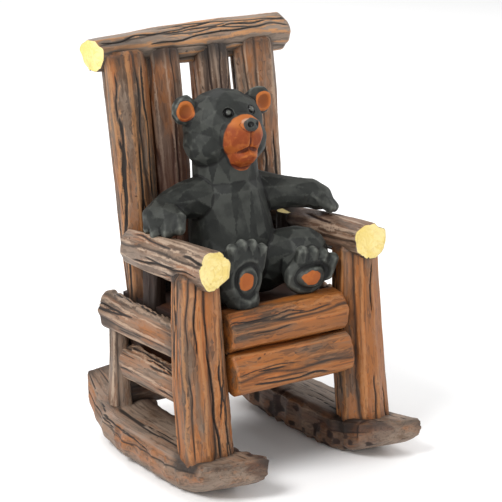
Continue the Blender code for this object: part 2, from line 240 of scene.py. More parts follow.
chair = {
    "legX": 0.0248, "legFootY": -0.0155, "legLean": 0.0052,
    "legTopRadius": 0.0061, "legFootRadius": 0.0074, "legFlatness": 0.92,
    "rearLegInset": 0.0004, "rearLegY": 0.0280, "rearLegRadius": 0.0029,
    "rockerWidth": 0.0176, "rockerThickness": 0.0098,
    "rockerFrontY": -0.0305, "rockerBackY": 0.0408,
    "flatFrontY": -0.0095, "flatBackY": 0.0170, "bendRadius": 0.0430,
    "rockerBow": 0.55, "rockerFrontLift": 0.4, "rockerToe": 0.0023, "rockerAskew": 0.32,
    "seatHeight": 0.0415, "seatThickness": 0.0165, "seatSideInset": 0.0023,
    "seatFrontSet": 0.0006, "seatBackOverlap": 0.0010,
    "frontRailRadius": 0.0056, "frontRailEndGap": 0.0007,
    "upperFrontRailSet": 0.0019, "upperFrontRailDrop": 0.0013,
    "lowerFrontRailSet": -0.0007, "lowerFrontRailDrop": 0.0118,
    "sideRailOutset": 0.0002, "sideRailRadius": 0.0048,
    "upperSideRailDrop": 0.0053, "lowerSideRailDrop": 0.0175,
    "sideRailTail": 0.0050, "sideRailGap": 0.0060,
    "rearRailRadius": 0.0050, "rearRailDrop": 0.0063, "rearRailPitch": 0.0105,
    "rearRailCount": 3,
    "armInset": 0.0006, "armRise": 0.0173, "armDrop": 0.0027,
    "armOverhang": 0.0029, "armBackGap": 0.0028, "armRadius": 0.0049,
    "propRadius": 0.0029, "propY": 0.0150, "propInset": 0.0030,
    "backRise": 0.0643, "backFootSet": 0.0035, "backLean": 0.0070, "backSkew": 0.0012,
    "backRailRadius": 0.0042, "postInset": 0.0040, "postSink": 0.0095,
    "postTopRadius": 0.0063, "postFootRadius": 0.0042,
    "slatPlaces": (-0.0083, 0.0070), "slatSink": 0.0040,
    "slatTopRadius": 0.0058, "slatFootRadius": 0.0046,
    "topLogLength": 0.0610, "topLogRadius": 0.0050, "topLogShift": 0.0025,
    "topLogSet": 0.0016, "topLogRise": 0.0012,
    "furrowDepth": 0.09, "hewnDepth": 0.07, "furrowCorners": 14,
    "capRings": 4, "triangles": 192000,
}

# How the bark and the knife work look on every log
bark = {
    "rowsNearEnds": 0.72, "coarse": 0.00016, "fine": 0.00007,
    "grooveLean": 0.07, "grooveWander": 0.0006, "grooveBend": 0.006,
    "grooveStart": 0.0025, "grooveEnd": 0.0035,
    "facetDepths": (0.945, 0.99), "facetLean": 0.3, "facetDrift": 0.12, "furrowDrift": 0.16,
    "flakeEdge": 0.0017, "flakeTop": 0.0013,
    "probe": 0.0007, "ridgeHeight": 0.00011, "rimWidth": 0.0012, "rimWear": 0.7,
    "endRoughness": 0.00010, "endChip": 0.0013, "endReach": 0.004,
    "grainShift": 0.173,
}

# How each kind of log is carved and painted
plainLog = {
    "sides": 72, "spans": 44, "squash": (1, 1), "ends": (0.8, 0.8), "slant": 0.0,
    "facets": 9, "grooves": 14, "grooveDepth": 0.00045, "grooveWidth": (0.00026, 0.00048),
    # dark, and darkFoot towards a log's first end, tint a log darker: painted shade on the far, inner
    # and hidden logs, and the dark red-brown paint of the seat
    "orange": 0.5, "wash": 0.5, "dark": 0.0, "darkFoot": 0.0, "paleEnds": (False, False),
    "ragged": (0.0, 0.0), "flakes": (), "caps": True,
}


def stockCylinder(name, sides, spans, capRings):
    # A cylinder of unit size, cut into rows along its length and rings on its ends
    deselectAll()
    bpy.ops.mesh.primitive_cylinder_add(vertices=sides, radius=1, depth=1, end_fill_type="NGON")
    item = bpy.context.object
    item.name = name
    mesh = item.data
    points = readPoints(item)
    ends = edgeEnds(item)
    isLong = abs(points[ends[:, 0], 2] - points[ends[:, 1], 2]) > 0.5
    bpy.ops.object.mode_set(mode="EDIT")
    bpy.ops.mesh.select_mode(type="EDGE")
    bpy.ops.mesh.select_all(action="DESELECT")
    bpy.ops.object.mode_set(mode="OBJECT")
    mesh.edges.foreach_set("select", isLong)
    bpy.ops.object.mode_set(mode="EDIT")
    bpy.ops.mesh.subdivide(number_cuts=spans - 1)
    bpy.ops.mesh.select_mode(type="FACE")
    bpy.ops.mesh.select_all(action="DESELECT")
    bpy.ops.object.mode_set(mode="OBJECT")
    selectByFace(item, abs(faceMiddles(item)[:, 2]) > 0.4999)
    bpy.ops.object.mode_set(mode="EDIT")
    for ring in range(capRings):
        bpy.ops.mesh.inset(thickness=1 / (capRings + 1), use_individual=True)
    bpy.ops.mesh.poke()
    bpy.ops.object.mode_set(mode="OBJECT")
    return item


def along(points, share):
    # Points on the smooth curve through two or three points
    share = share[:, None]
    if len(points) == 2:
        return points[0] * (1 - share) + points[1] * share
    bend = points[1] * 2 - (points[0] + points[2]) / 2
    first = points[0] * (1 - share) + bend * share
    return first * (1 - share) + (bend * (1 - share) + points[2] * share) * share


def swell(radii, share):
    start, middle, end = radii if len(radii) == 3 else (radii[0], sum(radii) / 2, radii[1])
    bend = middle * 2 - (start + end) / 2
    first = start * (1 - share) + bend * share
    return first * (1 - share) + (bend * (1 - share) + end * share) * share


def grooveMask(log, angle, down, radius):
    # How deep in a carved grain groove each point lies, from 0 to 1
    rng = np.random.default_rng(log["seed"] + 50)
    length = log["length"]
    mask = np.zeros(len(angle))
    for index in range(log["grooves"]):
        middle = rng.uniform(0, 2 * np.pi)
        start = rng.uniform(-0.15, 0.70) * length
        run = rng.uniform(0.25, 0.75) * length
        width = rng.uniform(*log["grooveWidth"])
        depth = rng.uniform(0.45, 1)
        lean = rng.uniform(-bark["grooveLean"], bark["grooveLean"]) * down / radius
        wander = lineNoise(down, bark["grooveBend"], log["seed"] * 31 + index)
        wander = wander * bark["grooveWander"] / radius
        off = wrapAngle(angle - middle - lean - wander) * radius
        narrow = width * (0.55 + 0.45 * smoothStep((down - start) / bark["grooveBend"]))
        opening = smoothStep((down - start) / bark["grooveStart"])
        closing = smoothStep((start + run - down) / bark["grooveEnd"])
        mask = np.maximum(mask, cup(off, narrow) ** 1.3 * (opening * closing) * depth)
    return mask


def flakeMask(log, angle, down, radius):
    # Raised ragged bark, as a height in metres
    height = np.zeros(len(angle))
    length = log["length"]
    for index, (middle, width, rise, start, end) in enumerate(log["flakes"]):
        seed = log["seed"] * 17 + index
        edge = width * (1 + 0.45 * lineNoise(down, bark["flakeEdge"], seed))
        off = abs(wrapAngle(angle - middle)) * radius / edge
        lift = smoothStep((1 - off) * 3.0)
        taper = smoothStep((down / length - start) * 14) * smoothStep((end - down / length) * 14)
        ragged = 0.65 + 0.35 * lineNoise(down, bark["flakeTop"], seed + 7)
        height = np.maximum(height, rise * lift * taper * ragged)
    return height


def hewnRadius(log, angle, down, radius):
    # Radius of the carved surface, and the groove mask on it
    seed = log["seed"]
    length = log["length"]
    wave = (
        0.45 * np.cos(2 * angle + seed * 1.7)
        + 0.35 * np.cos(3 * angle + seed * 2.9)
        + 0.20 * np.cos(5 * angle + seed * 4.3)
    )
    reach = radius * (1 + chair["hewnDepth"] * wave)
    rng = np.random.default_rng(seed + 900)
    flat = np.full(len(angle), 1.05)
    drift = bark["facetDrift"] * lineNoise(down, 0.012, seed + 3)
    for index in range(log["facets"]):
        middle = 2 * np.pi * (index + rng.uniform(-0.3, 0.3)) / log["facets"]
        depth = rng.uniform(*bark["facetDepths"])
        lean = rng.uniform(-bark["facetLean"], bark["facetLean"]) * (down / length - 0.5)
        off = np.clip(wrapAngle(angle - middle - lean - drift), -1.1, 1.1)
        flat = np.minimum(flat, depth / np.cos(off))
    reach = reach * flat
    step = 2 * np.pi / chair["furrowCorners"]
    furrow = np.zeros(len(angle))
    wander = bark["furrowDrift"] * lineNoise(down, 0.009, seed + 5)
    for corner in range(chair["furrowCorners"]):
        if (corner * 3 + seed) % 5 == 0:
            off = abs(wrapAngle(angle - corner * step - wander)) / step
            furrow = np.maximum(furrow, np.clip(1 - off, 0, 1) ** 1.5)
    reach -= radius * chair["furrowDepth"] * furrow
    groove = grooveMask(log, angle, down, radius)
    reach -= log["grooveDepth"] * groove
    reach += bark["coarse"] * patchNoise(angle, down, 7, 0.010, seed + 11)
    reach += bark["fine"] * patchNoise(angle, down, 24, 0.004, seed + 13)
    reach += flakeMask(log, angle, down, radius)
    return reach, np.maximum(groove, furrow ** 2 * 0.45)


def roundEnds(log, reach, down, radius):
    for near, distance in ((0, down), (1, log["length"] - down)):
        left = log["ends"][near]
        part = np.clip(distance / (radius * (1 - left) + 1e-6), 0, 1)
        reach = reach * (left + (1 - left) * (1 - (1 - part) ** 1.6))
    return reach


def logFrame(points, share):
    # The way along the log at each point, and the ways across and up from it
    ahead, behind = (along(points, np.clip(share + step, 0, 1)) for step in (0.05, -0.05))
    heading = ahead - behind
    heading /= np.linalg.norm(heading, axis=1)[:, None]
    upright = abs(heading[:, 2]) > 0.8
    reference = np.where(upright[:, None], np.array((0.0, 1, 0)), np.array((0.0, 0, 1)))
    side = np.cross(heading, reference)
    side /= np.linalg.norm(side, axis=1)[:, None]
    return heading, side, np.cross(side, heading)


def endCorners(item, stock, paleEnds):
    # Which face corners lie on a cut end, and which of them are painted pale
    index = cornerPoints(item)
    faces = cornerFaces(item)
    onEnd = np.zeros(len(index), bool)
    pale = np.zeros(len(index))
    for near, level in ((0, -0.5), (1, 0.5)):
        atEnd = abs(stock[index, 2] - level) < 1e-4
        whole = (np.bincount(faces, weights=~atEnd) < 0.5)[faces]
        onEnd |= whole
        if paleEnds[near]:
            pale[whole] = 1
    return onEnd, pale


def carveLog(name, points, radii, seed, **looks):
    # Turns a stock cylinder into a carved log that runs through two or three points
    log = dict(plainLog, **looks)
    log["seed"] = seed
    points = [np.array(point, float) for point in points]
    log["length"] = float(sum(np.linalg.norm(b - a) for a, b in zip(points, points[1:])))
    capRings = chair["capRings"] if log["caps"] else 1
    item = stockCylinder(name, log["sides"], log["spans"], capRings)
    stock = readPoints(item)
    angle = np.arctan2(stock[:, 1], stock[:, 0])
    fraction = np.clip(np.hypot(stock[:, 0], stock[:, 1]), 0, 1)
    even = np.clip(stock[:, 2] + 0.5, 0, 1)
    share = even - bark["rowsNearEnds"] * np.sin(2 * np.pi * even) / (2 * np.pi)
    down = share * log["length"]
    bothEnds = ((0, down), (1, log["length"] - down))
    radius = swell(radii, share)
    reach, groove = hewnRadius(log, angle, down, radius)
    # Ridges are where the surface stands out from its neighbours, and round the ends
    step = bark["probe"] / radius
    ahead, behind = (hewnRadius(log, angle + side * step, down, radius)[0] for side in (1, -1))
    ridge = np.clip((reach - (ahead + behind) / 2) / bark["ridgeHeight"], -1, 1)
    for near, distance in bothEnds:
        rim = 1 - smoothStep(distance / bark["rimWidth"])
        ridge = np.maximum(ridge, bark["rimWear"] * rim * (fraction > 0.99))
    reach = roundEnds(log, reach, down, radius)
    heading, side, top = logFrame(points, share)
    local = np.stack([np.cos(angle) * reach * fraction, np.sin(angle) * reach * fraction], axis=1)
    place = along(points, share)
    place += side * (local[:, :1] * log["squash"][0]) + top * (local[:, 1:] * log["squash"][1])
    askew = log["slant"] * np.cos(angle) * radii[0] * fraction * np.clip(1 - share * 4, 0, 1)
    place += heading * askew[:, None]
    for near, distance in bothEnds:
        rough = bark["endRoughness"] + log["ragged"][near]
        bite = patchNoise(angle, fraction * 0.004, 11, bark["endChip"], seed + 41 + near)
        fall = 1 - smoothStep(distance / bark["endReach"])
        place += heading * ((1 - 2 * near) * rough * bite * fall * fraction ** 4)[:, None]
    writePoints(item, place + toOrigin)
    index = cornerPoints(item)
    onEnd, pale = endCorners(item, stock, log["paleEnds"])
    grain = np.concatenate([local, (down + seed * bark["grainShift"])[:, None]], axis=1)
    dark = log["dark"] + log["darkFoot"] * (1 - share[index]) ** 1.4
    orange, wash = (np.full(len(index), log[key], float) for key in ("orange", "wash"))
    groove = np.where(onEnd, 0.0, groove[index])
    ridge = np.where(onEnd, 0.0, ridge[index])
    storeLooks(item, grain[index], groove, ridge, pale, orange, wash, dark)
    return item


def levelLog(name, half, y, height, radius, seed, **looks):
    return carveLog(name, ((-half, y, height), (half, y, height)), (radius, radius), seed, **looks)


def armCentre(y):
    frontY = chair["legFootY"] - chair["armOverhang"]
    backY = chair["rearLegY"] - chair["backFootSet"] - chair["armBackGap"]
    share = (y - frontY) / (backY - frontY)
    return chair["seatHeight"] + chair["armRise"] - chair["armDrop"] * share


def backLine(x, low, high, spread=1.0):
    points = []
    footY = chair["rearLegY"] - chair["backFootSet"]
    for height in (low, (low + high) / 2, high):
        share = (height - chair["seatHeight"]) / chair["backRise"]
        bow = chair["backLean"] * (0.55 * share + 0.45 * share * share)
        across = x * (1 + (spread - 1) * (1 - share)) + chair["backSkew"] * (1 - share)
        points.append((across, footY + bow, height))
    return points


def carveArms():
    armX = chair["legX"] - chair["armInset"]
    frontY = chair["legFootY"] - chair["armOverhang"]
    backY = chair["rearLegY"] - chair["backFootSet"] - chair["armBackGap"]
    middleY = (frontY + backY) / 2
    radius = chair["armRadius"]
    logs = []
    for side in (-1, 1):
        logs.append(carveLog(
            "arm",
            (
                (side * armX, frontY, armCentre(frontY)),
                (side * (armX + 0.0004), middleY, armCentre(middleY)),
                (side * armX, backY, armCentre(backY)),
            ),
            (radius, radius * 1.03, radius * 0.86),
            3 + side,
            ends=(0.97, 0.68), sides=116, spans=76, facets=8, grooves=13,
            # the far arm is darker, most towards its back: painted shade
            orange=0.22, wash=0.9, dark=0.42 * (side > 0), darkFoot=-0.28 * (side > 0),
            paleEnds=(True, False), ragged=(0.0002, 0.0),
            flakes=((2.6, 0.0016, 0.0005, 0.20, 0.42), (0.4, 0.0016, 0.0005, 0.55, 0.75)),
        ))
        propX = side * (armX - chair["propInset"])
        propY = chair["propY"]
        foot = chair["seatHeight"] - chair["seatThickness"] / 2
        logs.append(carveLog(
            "prop",
            ((propX, propY, foot), (propX, propY, armCentre(propY) + radius * 0.72)),
            (chair["propRadius"] * 1.05, chair["propRadius"]),
            16 + side,
            # the props, tucked inside the arms, are darkened as painted shade
            ends=(0.9, 0.9), sides=48, spans=24, grooves=7, orange=0.2, wash=0.5, dark=0.5,
            paleEnds=(False, True),
        ))
    return logs


def carveBack():
    logs = []
    high = chair["seatHeight"] + chair["backRise"]
    postX = chair["legX"] - chair["armInset"] - chair["postInset"]
    for side in (-1, 1):
        logs.append(carveLog(
            "post",
            backLine(side * postX, chair["seatHeight"] - chair["postSink"], high),
            (chair["postFootRadius"], chair["postTopRadius"] * 0.93, chair["postTopRadius"]),
            6 + side,
            squash=(1, 0.85), sides=120, spans=90, facets=8, grooves=19,
            # less orange on the far post, and darker towards the feet of both posts, most on the far
            # one: painted shade
            orange=0.50 - 0.2 * (side > 0), wash=0.7, darkFoot=0.10 + 0.3 * (side > 0), caps=False,
        ))
    for index, x in enumerate(chair["slatPlaces"]):
        logs.append(carveLog(
            "slat",
            backLine(x - 0.0005, chair["seatHeight"] - chair["slatSink"], high, spread=0.96),
            (chair["slatFootRadius"], chair["slatTopRadius"] * 0.90, chair["slatTopRadius"] * 0.92),
            11 + index * 3,
            squash=(1, 0.78), sides=104, spans=84, facets=7, grooves=15, orange=0.20, wash=0.62,
            # darker all over and most towards the foot, behind the bear: painted shade
            dark=0.20, darkFoot=0.60, caps=False,
        ))
    half = chair["topLogLength"] / 2
    shift = chair["topLogShift"]
    y = chair["rearLegY"] - chair["backFootSet"] + chair["backLean"] + chair["topLogSet"]
    rise = chair["topLogRise"]
    radius = chair["topLogRadius"]
    logs.append(carveLog(
        "top log",
        ((shift - half, y, high - rise * 0.65), (shift, y, high), (shift + half, y, high + rise * 0.35)),
        (radius * 0.84, radius * 1.04, radius),
        4,
        ends=(0.97, 0.62), slant=0.25, sides=124, spans=104, facets=8, grooves=12,
        # the top log is lighter all over: partly its grey-mauve wash, partly painted light, as it faces
        # up into the light
        orange=0.42, wash=1.35, paleEnds=(True, False), ragged=(0.0002, 0.0),
    ))
    footY = chair["rearLegY"] - chair["backFootSet"]
    logs.append(levelLog(
        "back rail", postX, footY, chair["seatHeight"], chair["backRailRadius"], 17,
        # darkened as painted shade
        squash=(0.8, 1.3), sides=56, spans=36, dark=0.2, caps=False,
    ))
    return logs


def carveFront():
    half = chair["legX"] - chair["legTopRadius"] * chair["legFlatness"] - chair["frontRailEndGap"]
    radius = chair["frontRailRadius"]
    return [
        levelLog(
            "upper front rail", half, chair["legFootY"] + chair["upperFrontRailSet"],
            chair["seatHeight"] - chair["upperFrontRailDrop"], radius, 2,
            squash=(0.85, 1), ends=(0.86, 0.72), sides=128, spans=84, facets=7, grooves=12,
            grooveWidth=(0.00024, 0.00045), grooveDepth=0.00034, orange=0.95, wash=0.30,
            flakes=((0.95, 0.0012, 0.0006, 0.35, 0.99),),
        ),
        levelLog(
            "lower front rail", half, chair["legFootY"] + chair["lowerFrontRailSet"],
            chair["seatHeight"] - chair["lowerFrontRailDrop"], radius, 5,
            squash=(0.85, 0.96), ends=(0.86, 0.78), sides=128, spans=84, facets=7, grooves=12,
            grooveWidth=(0.00024, 0.00045), grooveDepth=0.00034, orange=0.95, wash=0.30,
            flakes=((-1.9, 0.0010, 0.0005, 0.02, 0.98),),
        ),
    ]


def carveSide(side):
    legX, footY, lean = side * chair["legX"], chair["legFootY"], chair["legLean"]
    foot = chair["rockerThickness"] * 0.6
    top = armCentre(footY) - chair["armRadius"] * 0.35
    knee = foot + (top - foot) * 0.42
    logs = [carveLog(
        "front leg",
        ((legX, footY, foot), (legX, footY + lean * 0.62, knee), (legX, footY + lean, top)),
        (chair["legFootRadius"], chair["legFootRadius"] * 0.97, chair["legTopRadius"]),
        8 + side,
        squash=(chair["legFlatness"], 1.06), sides=144, spans=96, facets=9, grooves=26,
        grooveDepth=0.0005, orange=0.72, wash=0.55, caps=False,
    )]
    rearX, rearY = side * (chair["legX"] - chair["rearLegInset"]), chair["rearLegY"]
    thickness = chair["rockerThickness"]
    upper = chair["seatHeight"] - chair["upperSideRailDrop"]
    lower = chair["seatHeight"] - chair["lowerSideRailDrop"]
    radius = chair["rearLegRadius"]
    logs.append(carveLog(
        "rear leg",
        ((rearX, rearY, thickness * 0.5), (rearX, rearY, thickness * 2.5), (rearX, rearY, upper)),
        (radius * 1.5, radius, radius * 1.1),
        10 + side,
        # the full wash and a negative dark take back part of the painted shade on this leg
        sides=56, spans=40, facets=6, grooves=9, orange=0.24, wash=1.0, dark=-0.7, caps=False,
    ))
    railX = side * (chair["legX"] + chair["sideRailOutset"])
    front = footY + lean + chair["legTopRadius"] * 0.6
    radius = chair["sideRailRadius"]
    ragTop = 1.75 if side < 0 else 1.4
    logs.append(carveLog(
        "upper side rail",
        ((railX, front, upper), (railX, rearY + chair["sideRailTail"], upper)),
        (radius * 0.9, radius * 1.08),
        12 + side,
        squash=(0.8, 1), ends=(0.9, 0.6), sides=104, spans=66, facets=7, grooves=13,
        orange=0.3, wash=0.8, ragged=(0.0006, 0.0002),
        flakes=((ragTop, 0.0018, 0.0012, 0.06, 0.97),),
    ))
    logs.append(carveLog(
        "lower side rail",
        ((railX, front, lower), (railX, rearY - chair["sideRailGap"], lower)),
        (radius * 0.9, radius),
        14 + side,
        squash=(0.8, 1), ends=(0.9, 0.8), sides=104, spans=60, facets=7, grooves=13,
        orange=0.3, wash=0.8, ragged=(0.0006, 0.0004),
        flakes=((ragTop, 0.0016, 0.0007, 0.06, 0.97),),
    ))
    return logs


def carveRear():
    return [
        levelLog(
            "rear rail", chair["legX"] - chair["rearLegInset"], chair["rearLegY"],
            chair["seatHeight"] - chair["rearRailDrop"] - chair["rearRailPitch"] * index,
            chair["rearRailRadius"], 18 + index,
            # darkened as painted shade under the seat at the back
            squash=(0.75, 1.08), sides=64, spans=44, orange=0.3, wash=0.5, dark=0.25, caps=False,
        )
        for index in range(chair["rearRailCount"])
    ]


rocker = {
    "sides": 120, "spans": 110, "rowsNearEnds": 0.6, "corner": 0.12, "seed": 60,
    "sideFacets": 12, "facetDepth": 0.00110, "facetReach": 0.0040, "facetLevel": 0.40,
    "facetShift": 0.0016, "borderWidth": 0.0024,
    "grooves": 18, "grooveDepth": 0.00028, "grooveWidth": (0.00030, 0.00050),
    "coarse": 0.00022, "fine": 0.00012, "chipDepth": 0.00042,
    "tipRoughness": 0.00022, "tipReach": 0.003,
    "tipNarrowing": 0.2, "tipThinning": 0.15,
}


def rockerUnderside(y):
    reach = np.maximum(np.maximum(chair["flatFrontY"] - y, y - chair["flatBackY"]), 0)
    return chair["bendRadius"] - np.sqrt(chair["bendRadius"] ** 2 - reach ** 2)


def sectionReach(corners, angle):
    # How far a many-sided section reaches from its middle at each angle
    direction = np.stack([np.cos(angle), np.sin(angle)], axis=1)
    reach = np.full(len(angle), np.inf)
    for first, second in zip(corners, np.roll(corners, -1, axis=0)):
        edge = second - first
        normal = np.array((edge[1], -edge[0]))
        facing = direction @ normal
        far = (first @ normal) / np.where(abs(facing) < 1e-12, 1e-12, facing)
        reach = np.where((facing > 1e-9) & (far > 0), np.minimum(reach, far), reach)
    return reach


def rockerSection():
    half, thickness = chair["rockerWidth"] / 2, chair["rockerThickness"]
    corner = chair["rockerWidth"] * rocker["corner"]
    return np.array((
        (-half + corner, 0), (half - corner * 1.6, 0), (half - corner * 0.35, corner * 1.1),
        (half, thickness * 0.45), (half - corner * 0.25, thickness * 0.86),
        (half - corner * 1.2, thickness * 0.95), (0, thickness),
        (-half + corner, thickness * 1.02), (-half, thickness * 0.92), (-half, corner),
    ))


def scoopSides(log, down, across):
    # Scoops of the knife along both side faces and round the front tip
    half = chair["rockerWidth"] / 2
    rng = np.random.default_rng(log["seed"])
    spots = np.linspace(0, log["length"], rocker["sideFacets"])
    spots += rng.uniform(-rocker["facetShift"], rocker["facetShift"], len(spots))
    warmth, grime = rng.uniform(0, 1, (2, len(spots)))
    off = abs(down[:, None] - spots[None, :])
    order = np.sort(off, axis=1)
    scoop = np.argmin(off, axis=1)
    dish = cup(order[:, 0], rocker["facetReach"]) - rocker["facetLevel"]
    border = np.clip(1 - (order[:, 1] - order[:, 0]) / rocker["borderWidth"], 0, 1)
    onFace = smoothStep((abs(across) / half - 0.78) * 8)
    across = across - np.sign(across) * onFace * dish * rocker["facetDepth"]
    orange = 0.08 + onFace * (0.10 + 0.42 * warmth[scoop])
    wash = 1.05 - onFace * 0.35 * grime[scoop]
    return across, border * onFace * 0.62, orange, wash


def bendRocker(log, side, across, up, y, angle, fraction):
    # Bowed behind and rounded at the tips, with the front tip turned and cut askew
    half, thickness = chair["rockerWidth"] / 2, chair["rockerThickness"]
    frontY, length = chair["rockerFrontY"], log["length"]
    down = y - frontY
    fromTip = np.minimum(down, length - down)
    rounding = np.clip(1 - fromTip / half, 0, 1) ** 2
    bow = chair["rockerBow"] * np.clip(2 * down / length - 1, 0, 1) ** 2
    forward = np.clip((chair["flatFrontY"] - y) / (chair["flatFrontY"] - frontY), 0, 1)
    across = across * np.where(across > 0, 1 - bow, 1) * (1 - rounding * rocker["tipNarrowing"])
    up = up * (1 - rocker["tipThinning"] * rounding)
    across, up = across * fraction, up * fraction
    rise = rockerUnderside(y)
    topRise = rise * np.where(y < chair["flatFrontY"], chair["rockerFrontLift"], 1)
    part = np.clip((up + thickness / 2) / thickness, 0, 1.1)
    height = thickness / 2 + up + rise + (topRise - rise) * part
    height = np.where(up < 0, np.maximum(height, rise), height)
    bite = patchNoise(angle, fraction * 0.004, 9, 0.0015, log["seed"] + 9)
    tipFall = 1 - smoothStep(fromTip / rocker["tipReach"])
    y = y + np.where(down < length / 2, 1, -1) * rocker["tipRoughness"] * bite * tipFall
    y = y + forward * chair["rockerAskew"] * (half - side * across)
    x = side * (chair["legX"] + across) + forward * chair["rockerToe"]
    return np.stack([x, y, height], axis=1), across, up


def carveRocker(side):
    half, thickness = chair["rockerWidth"] / 2, chair["rockerThickness"]
    frontY, backY = chair["rockerFrontY"], chair["rockerBackY"]
    log = dict(plainLog, **rocker)
    log["length"] = backY - frontY
    log["seed"] = rocker["seed"] + side
    item = stockCylinder("rocker", rocker["sides"], rocker["spans"], chair["capRings"])
    stock = readPoints(item)
    angle = np.arctan2(stock[:, 1], stock[:, 0])
    angle = angle - 0.30 * np.sin(2 * angle)  # more points on the side faces
    fraction = np.clip(np.hypot(stock[:, 0], stock[:, 1]), 0, 1)
    even = np.clip(stock[:, 2] + 0.5, 0, 1)
    share = even - rocker["rowsNearEnds"] * np.sin(2 * np.pi * even) / (2 * np.pi)
    y = frontY + (backY - frontY) * share
    down = y - frontY
    reach = sectionReach(rockerSection() - np.array((0, thickness / 2)), angle)
    up = np.sin(angle) * reach
    across, ridge, orange, wash = scoopSides(log, down, np.cos(angle) * reach)
    arc = np.arctan2(up, across)
    groove = grooveMask(log, arc, down, np.full(len(arc), half))
    isTop = smoothStep(up / (thickness * 0.5) * 3)
    groove *= np.clip(isTop + 0.15, 0, 1) * (fraction > 0.99)
    relief = rocker["coarse"] * patchNoise(arc, down, 9, 0.007, log["seed"] + 3)
    relief += rocker["fine"] * patchNoise(arc, down, 30, 0.003, log["seed"] + 4)
    relief -= rocker["grooveDepth"] * groove
    # The inner side and the inner part of the top are left rough
    inner = smoothStep((-across / half - 0.30) * 2.2)
    chips = patchNoise(arc, down, 22, 0.0021, log["seed"] + 8)
    relief += inner * rocker["chipDepth"] * chips
    scale = 1 + relief / np.hypot(across, up)
    across, up = across * scale, up * scale
    rim = smoothStep((abs(across) / half - 0.84) * 9)
    ridge = np.maximum(ridge, rim * smoothStep((up / thickness - 0.30) * 9))
    ridge = np.maximum(ridge, rim * smoothStep((-up / thickness - 0.22) * 6) * 0.7)
    place, across, up = bendRocker(log, side, across, up, y, angle, fraction)
    writePoints(item, place + toOrigin)
    if side < 0:
        item.data.flip_normals()
    index = cornerPoints(item)
    onEnd, pale = endCorners(item, stock, log["paleEnds"])
    ridge = np.where(onEnd, 0.15, np.clip(ridge, 0, 1)[index])
    groove = np.maximum(groove, inner * smoothStep((-chips - 0.25) * 3) * 0.7)
    groove = np.where(onEnd, 0.0, groove[index])
    grain = np.stack([across, up, down + log["seed"] * bark["grainShift"]], axis=1)
    # painted shade: a little on the top, more on the inner side
    dark = 0.10 * isTop + 0.25 * inner
    storeLooks(
        item, grain[index], groove, ridge, pale, orange[index], wash[index], dark[index],
    )
    return item


seatBoards = {
    "start": 0.0226, "width": 0.0113, "seamDepth": 0.0003, "cuts": 21,
    # dark gives the seat top its dark red-brown paint, and adds to the painted shade there
    "orange": 0.1, "wash": 0.12, "dark": 0.45,
}


def carveSeat():
    # The seat board, whose underside is the boards behind the rails
    high = np.array((
        chair["legX"] - chair["seatSideInset"],
        chair["rearLegY"] + chair["seatBackOverlap"],
        chair["seatHeight"],
    ))
    low = np.array((
        -high[0],
        chair["legFootY"] + chair["upperFrontRailSet"] + chair["seatFrontSet"],
        chair["seatHeight"] - chair["seatThickness"],
    ))
    deselectAll()
    bpy.ops.mesh.primitive_cube_add(size=1, location=(0, 0, 0))
    item = bpy.context.object
    bpy.ops.object.mode_set(mode="EDIT")
    bpy.ops.mesh.select_all(action="SELECT")
    bpy.ops.mesh.subdivide(number_cuts=seatBoards["cuts"])
    bpy.ops.object.mode_set(mode="OBJECT")
    stock = readPoints(item)
    place = low + (stock + 0.5) * (high - low)
    index = cornerPoints(item)
    boards = abs(((place[:, 0] + seatBoards["start"]) / seatBoards["width"]) % 1 - 0.5)
    seam = smoothStep((boards - 0.44) * 18) * (stock[:, 2] > 0.49)
    place[:, 2] -= seatBoards["seamDepth"] * seam
    writePoints(item, place + toOrigin)
    grain = np.stack([place[:, 0], place[:, 2], place[:, 1]], axis=1)
    plain = np.zeros(len(index))
    orange, wash, dark = (np.full(len(index), seatBoards[key]) for key in ("orange", "wash", "dark"))
    storeLooks(item, grain[index], seam[index], plain, plain, orange, wash, dark)
    return item


def buildChair():
    seat = carveSeat()
    logs = carveArms() + carveBack() + carveFront() + carveRear()
    for side in (-1, 1):
        logs += carveSide(side)
        logs.append(carveRocker(side))
    helpers = bpy.data.collections.new("logs")
    bpy.context.scene.collection.children.link(helpers)
    total = 0
    for item in logs:
        item.users_collection[0].objects.unlink(item)
        helpers.objects.link(item)
        total += countTriangles(item)
    print("logs carved", len(logs), "triangles", total)
    seat.name = "rockingChair"
    applyStep(
        seat, "cast as one", "BOOLEAN",
        operation="UNION", operand_type="COLLECTION", collection=helpers, solver="MANIFOLD",
    )
    for item in logs:
        bpy.data.objects.remove(item)
    bpy.data.collections.remove(helpers)
    triangles = countTriangles(seat)
    print("chair cast as one,", triangles, "triangles")
    applyStep(seat, "thin", "DECIMATE", ratio=chair["triangles"] / triangles)
    print("thinned to", len(seat.data.polygons), "faces")
    onlyItem(seat)
    bpy.ops.object.shade_smooth_by_angle(angle=math.radians(50))
    return seat


# The bear, pressed together from lumps of clay, then whittled

bear = {
    "height": 0.0550, "shift": -0.0007, "lumps": 8,
    "voxel": 0.00040, "smooth": 12, "gap": 0.00030,
    "facets": 1300, "facetCut": 0.9, "pawCut": 0.45, "handX": 19, "soleY": -9, "seed": 5,
    "sharpBend": 0.10,
    "eyes": ((-3.5, 5.2, 50.4), (3.9, 5.5, 50.5)),
    "nearRing": ((-10.1, -14.1, 11.4), 3.6, 4.1),
    "farRing": ((9.9, -14.0, 9.1), 5.2, 3.4),
}
unit = bear["height"] / 55
bearFoot = np.array((bear["shift"], 0, chair["seatHeight"])) + toOrigin


def bearPlace(point):
    return bearFoot + np.array(point, float) * unit


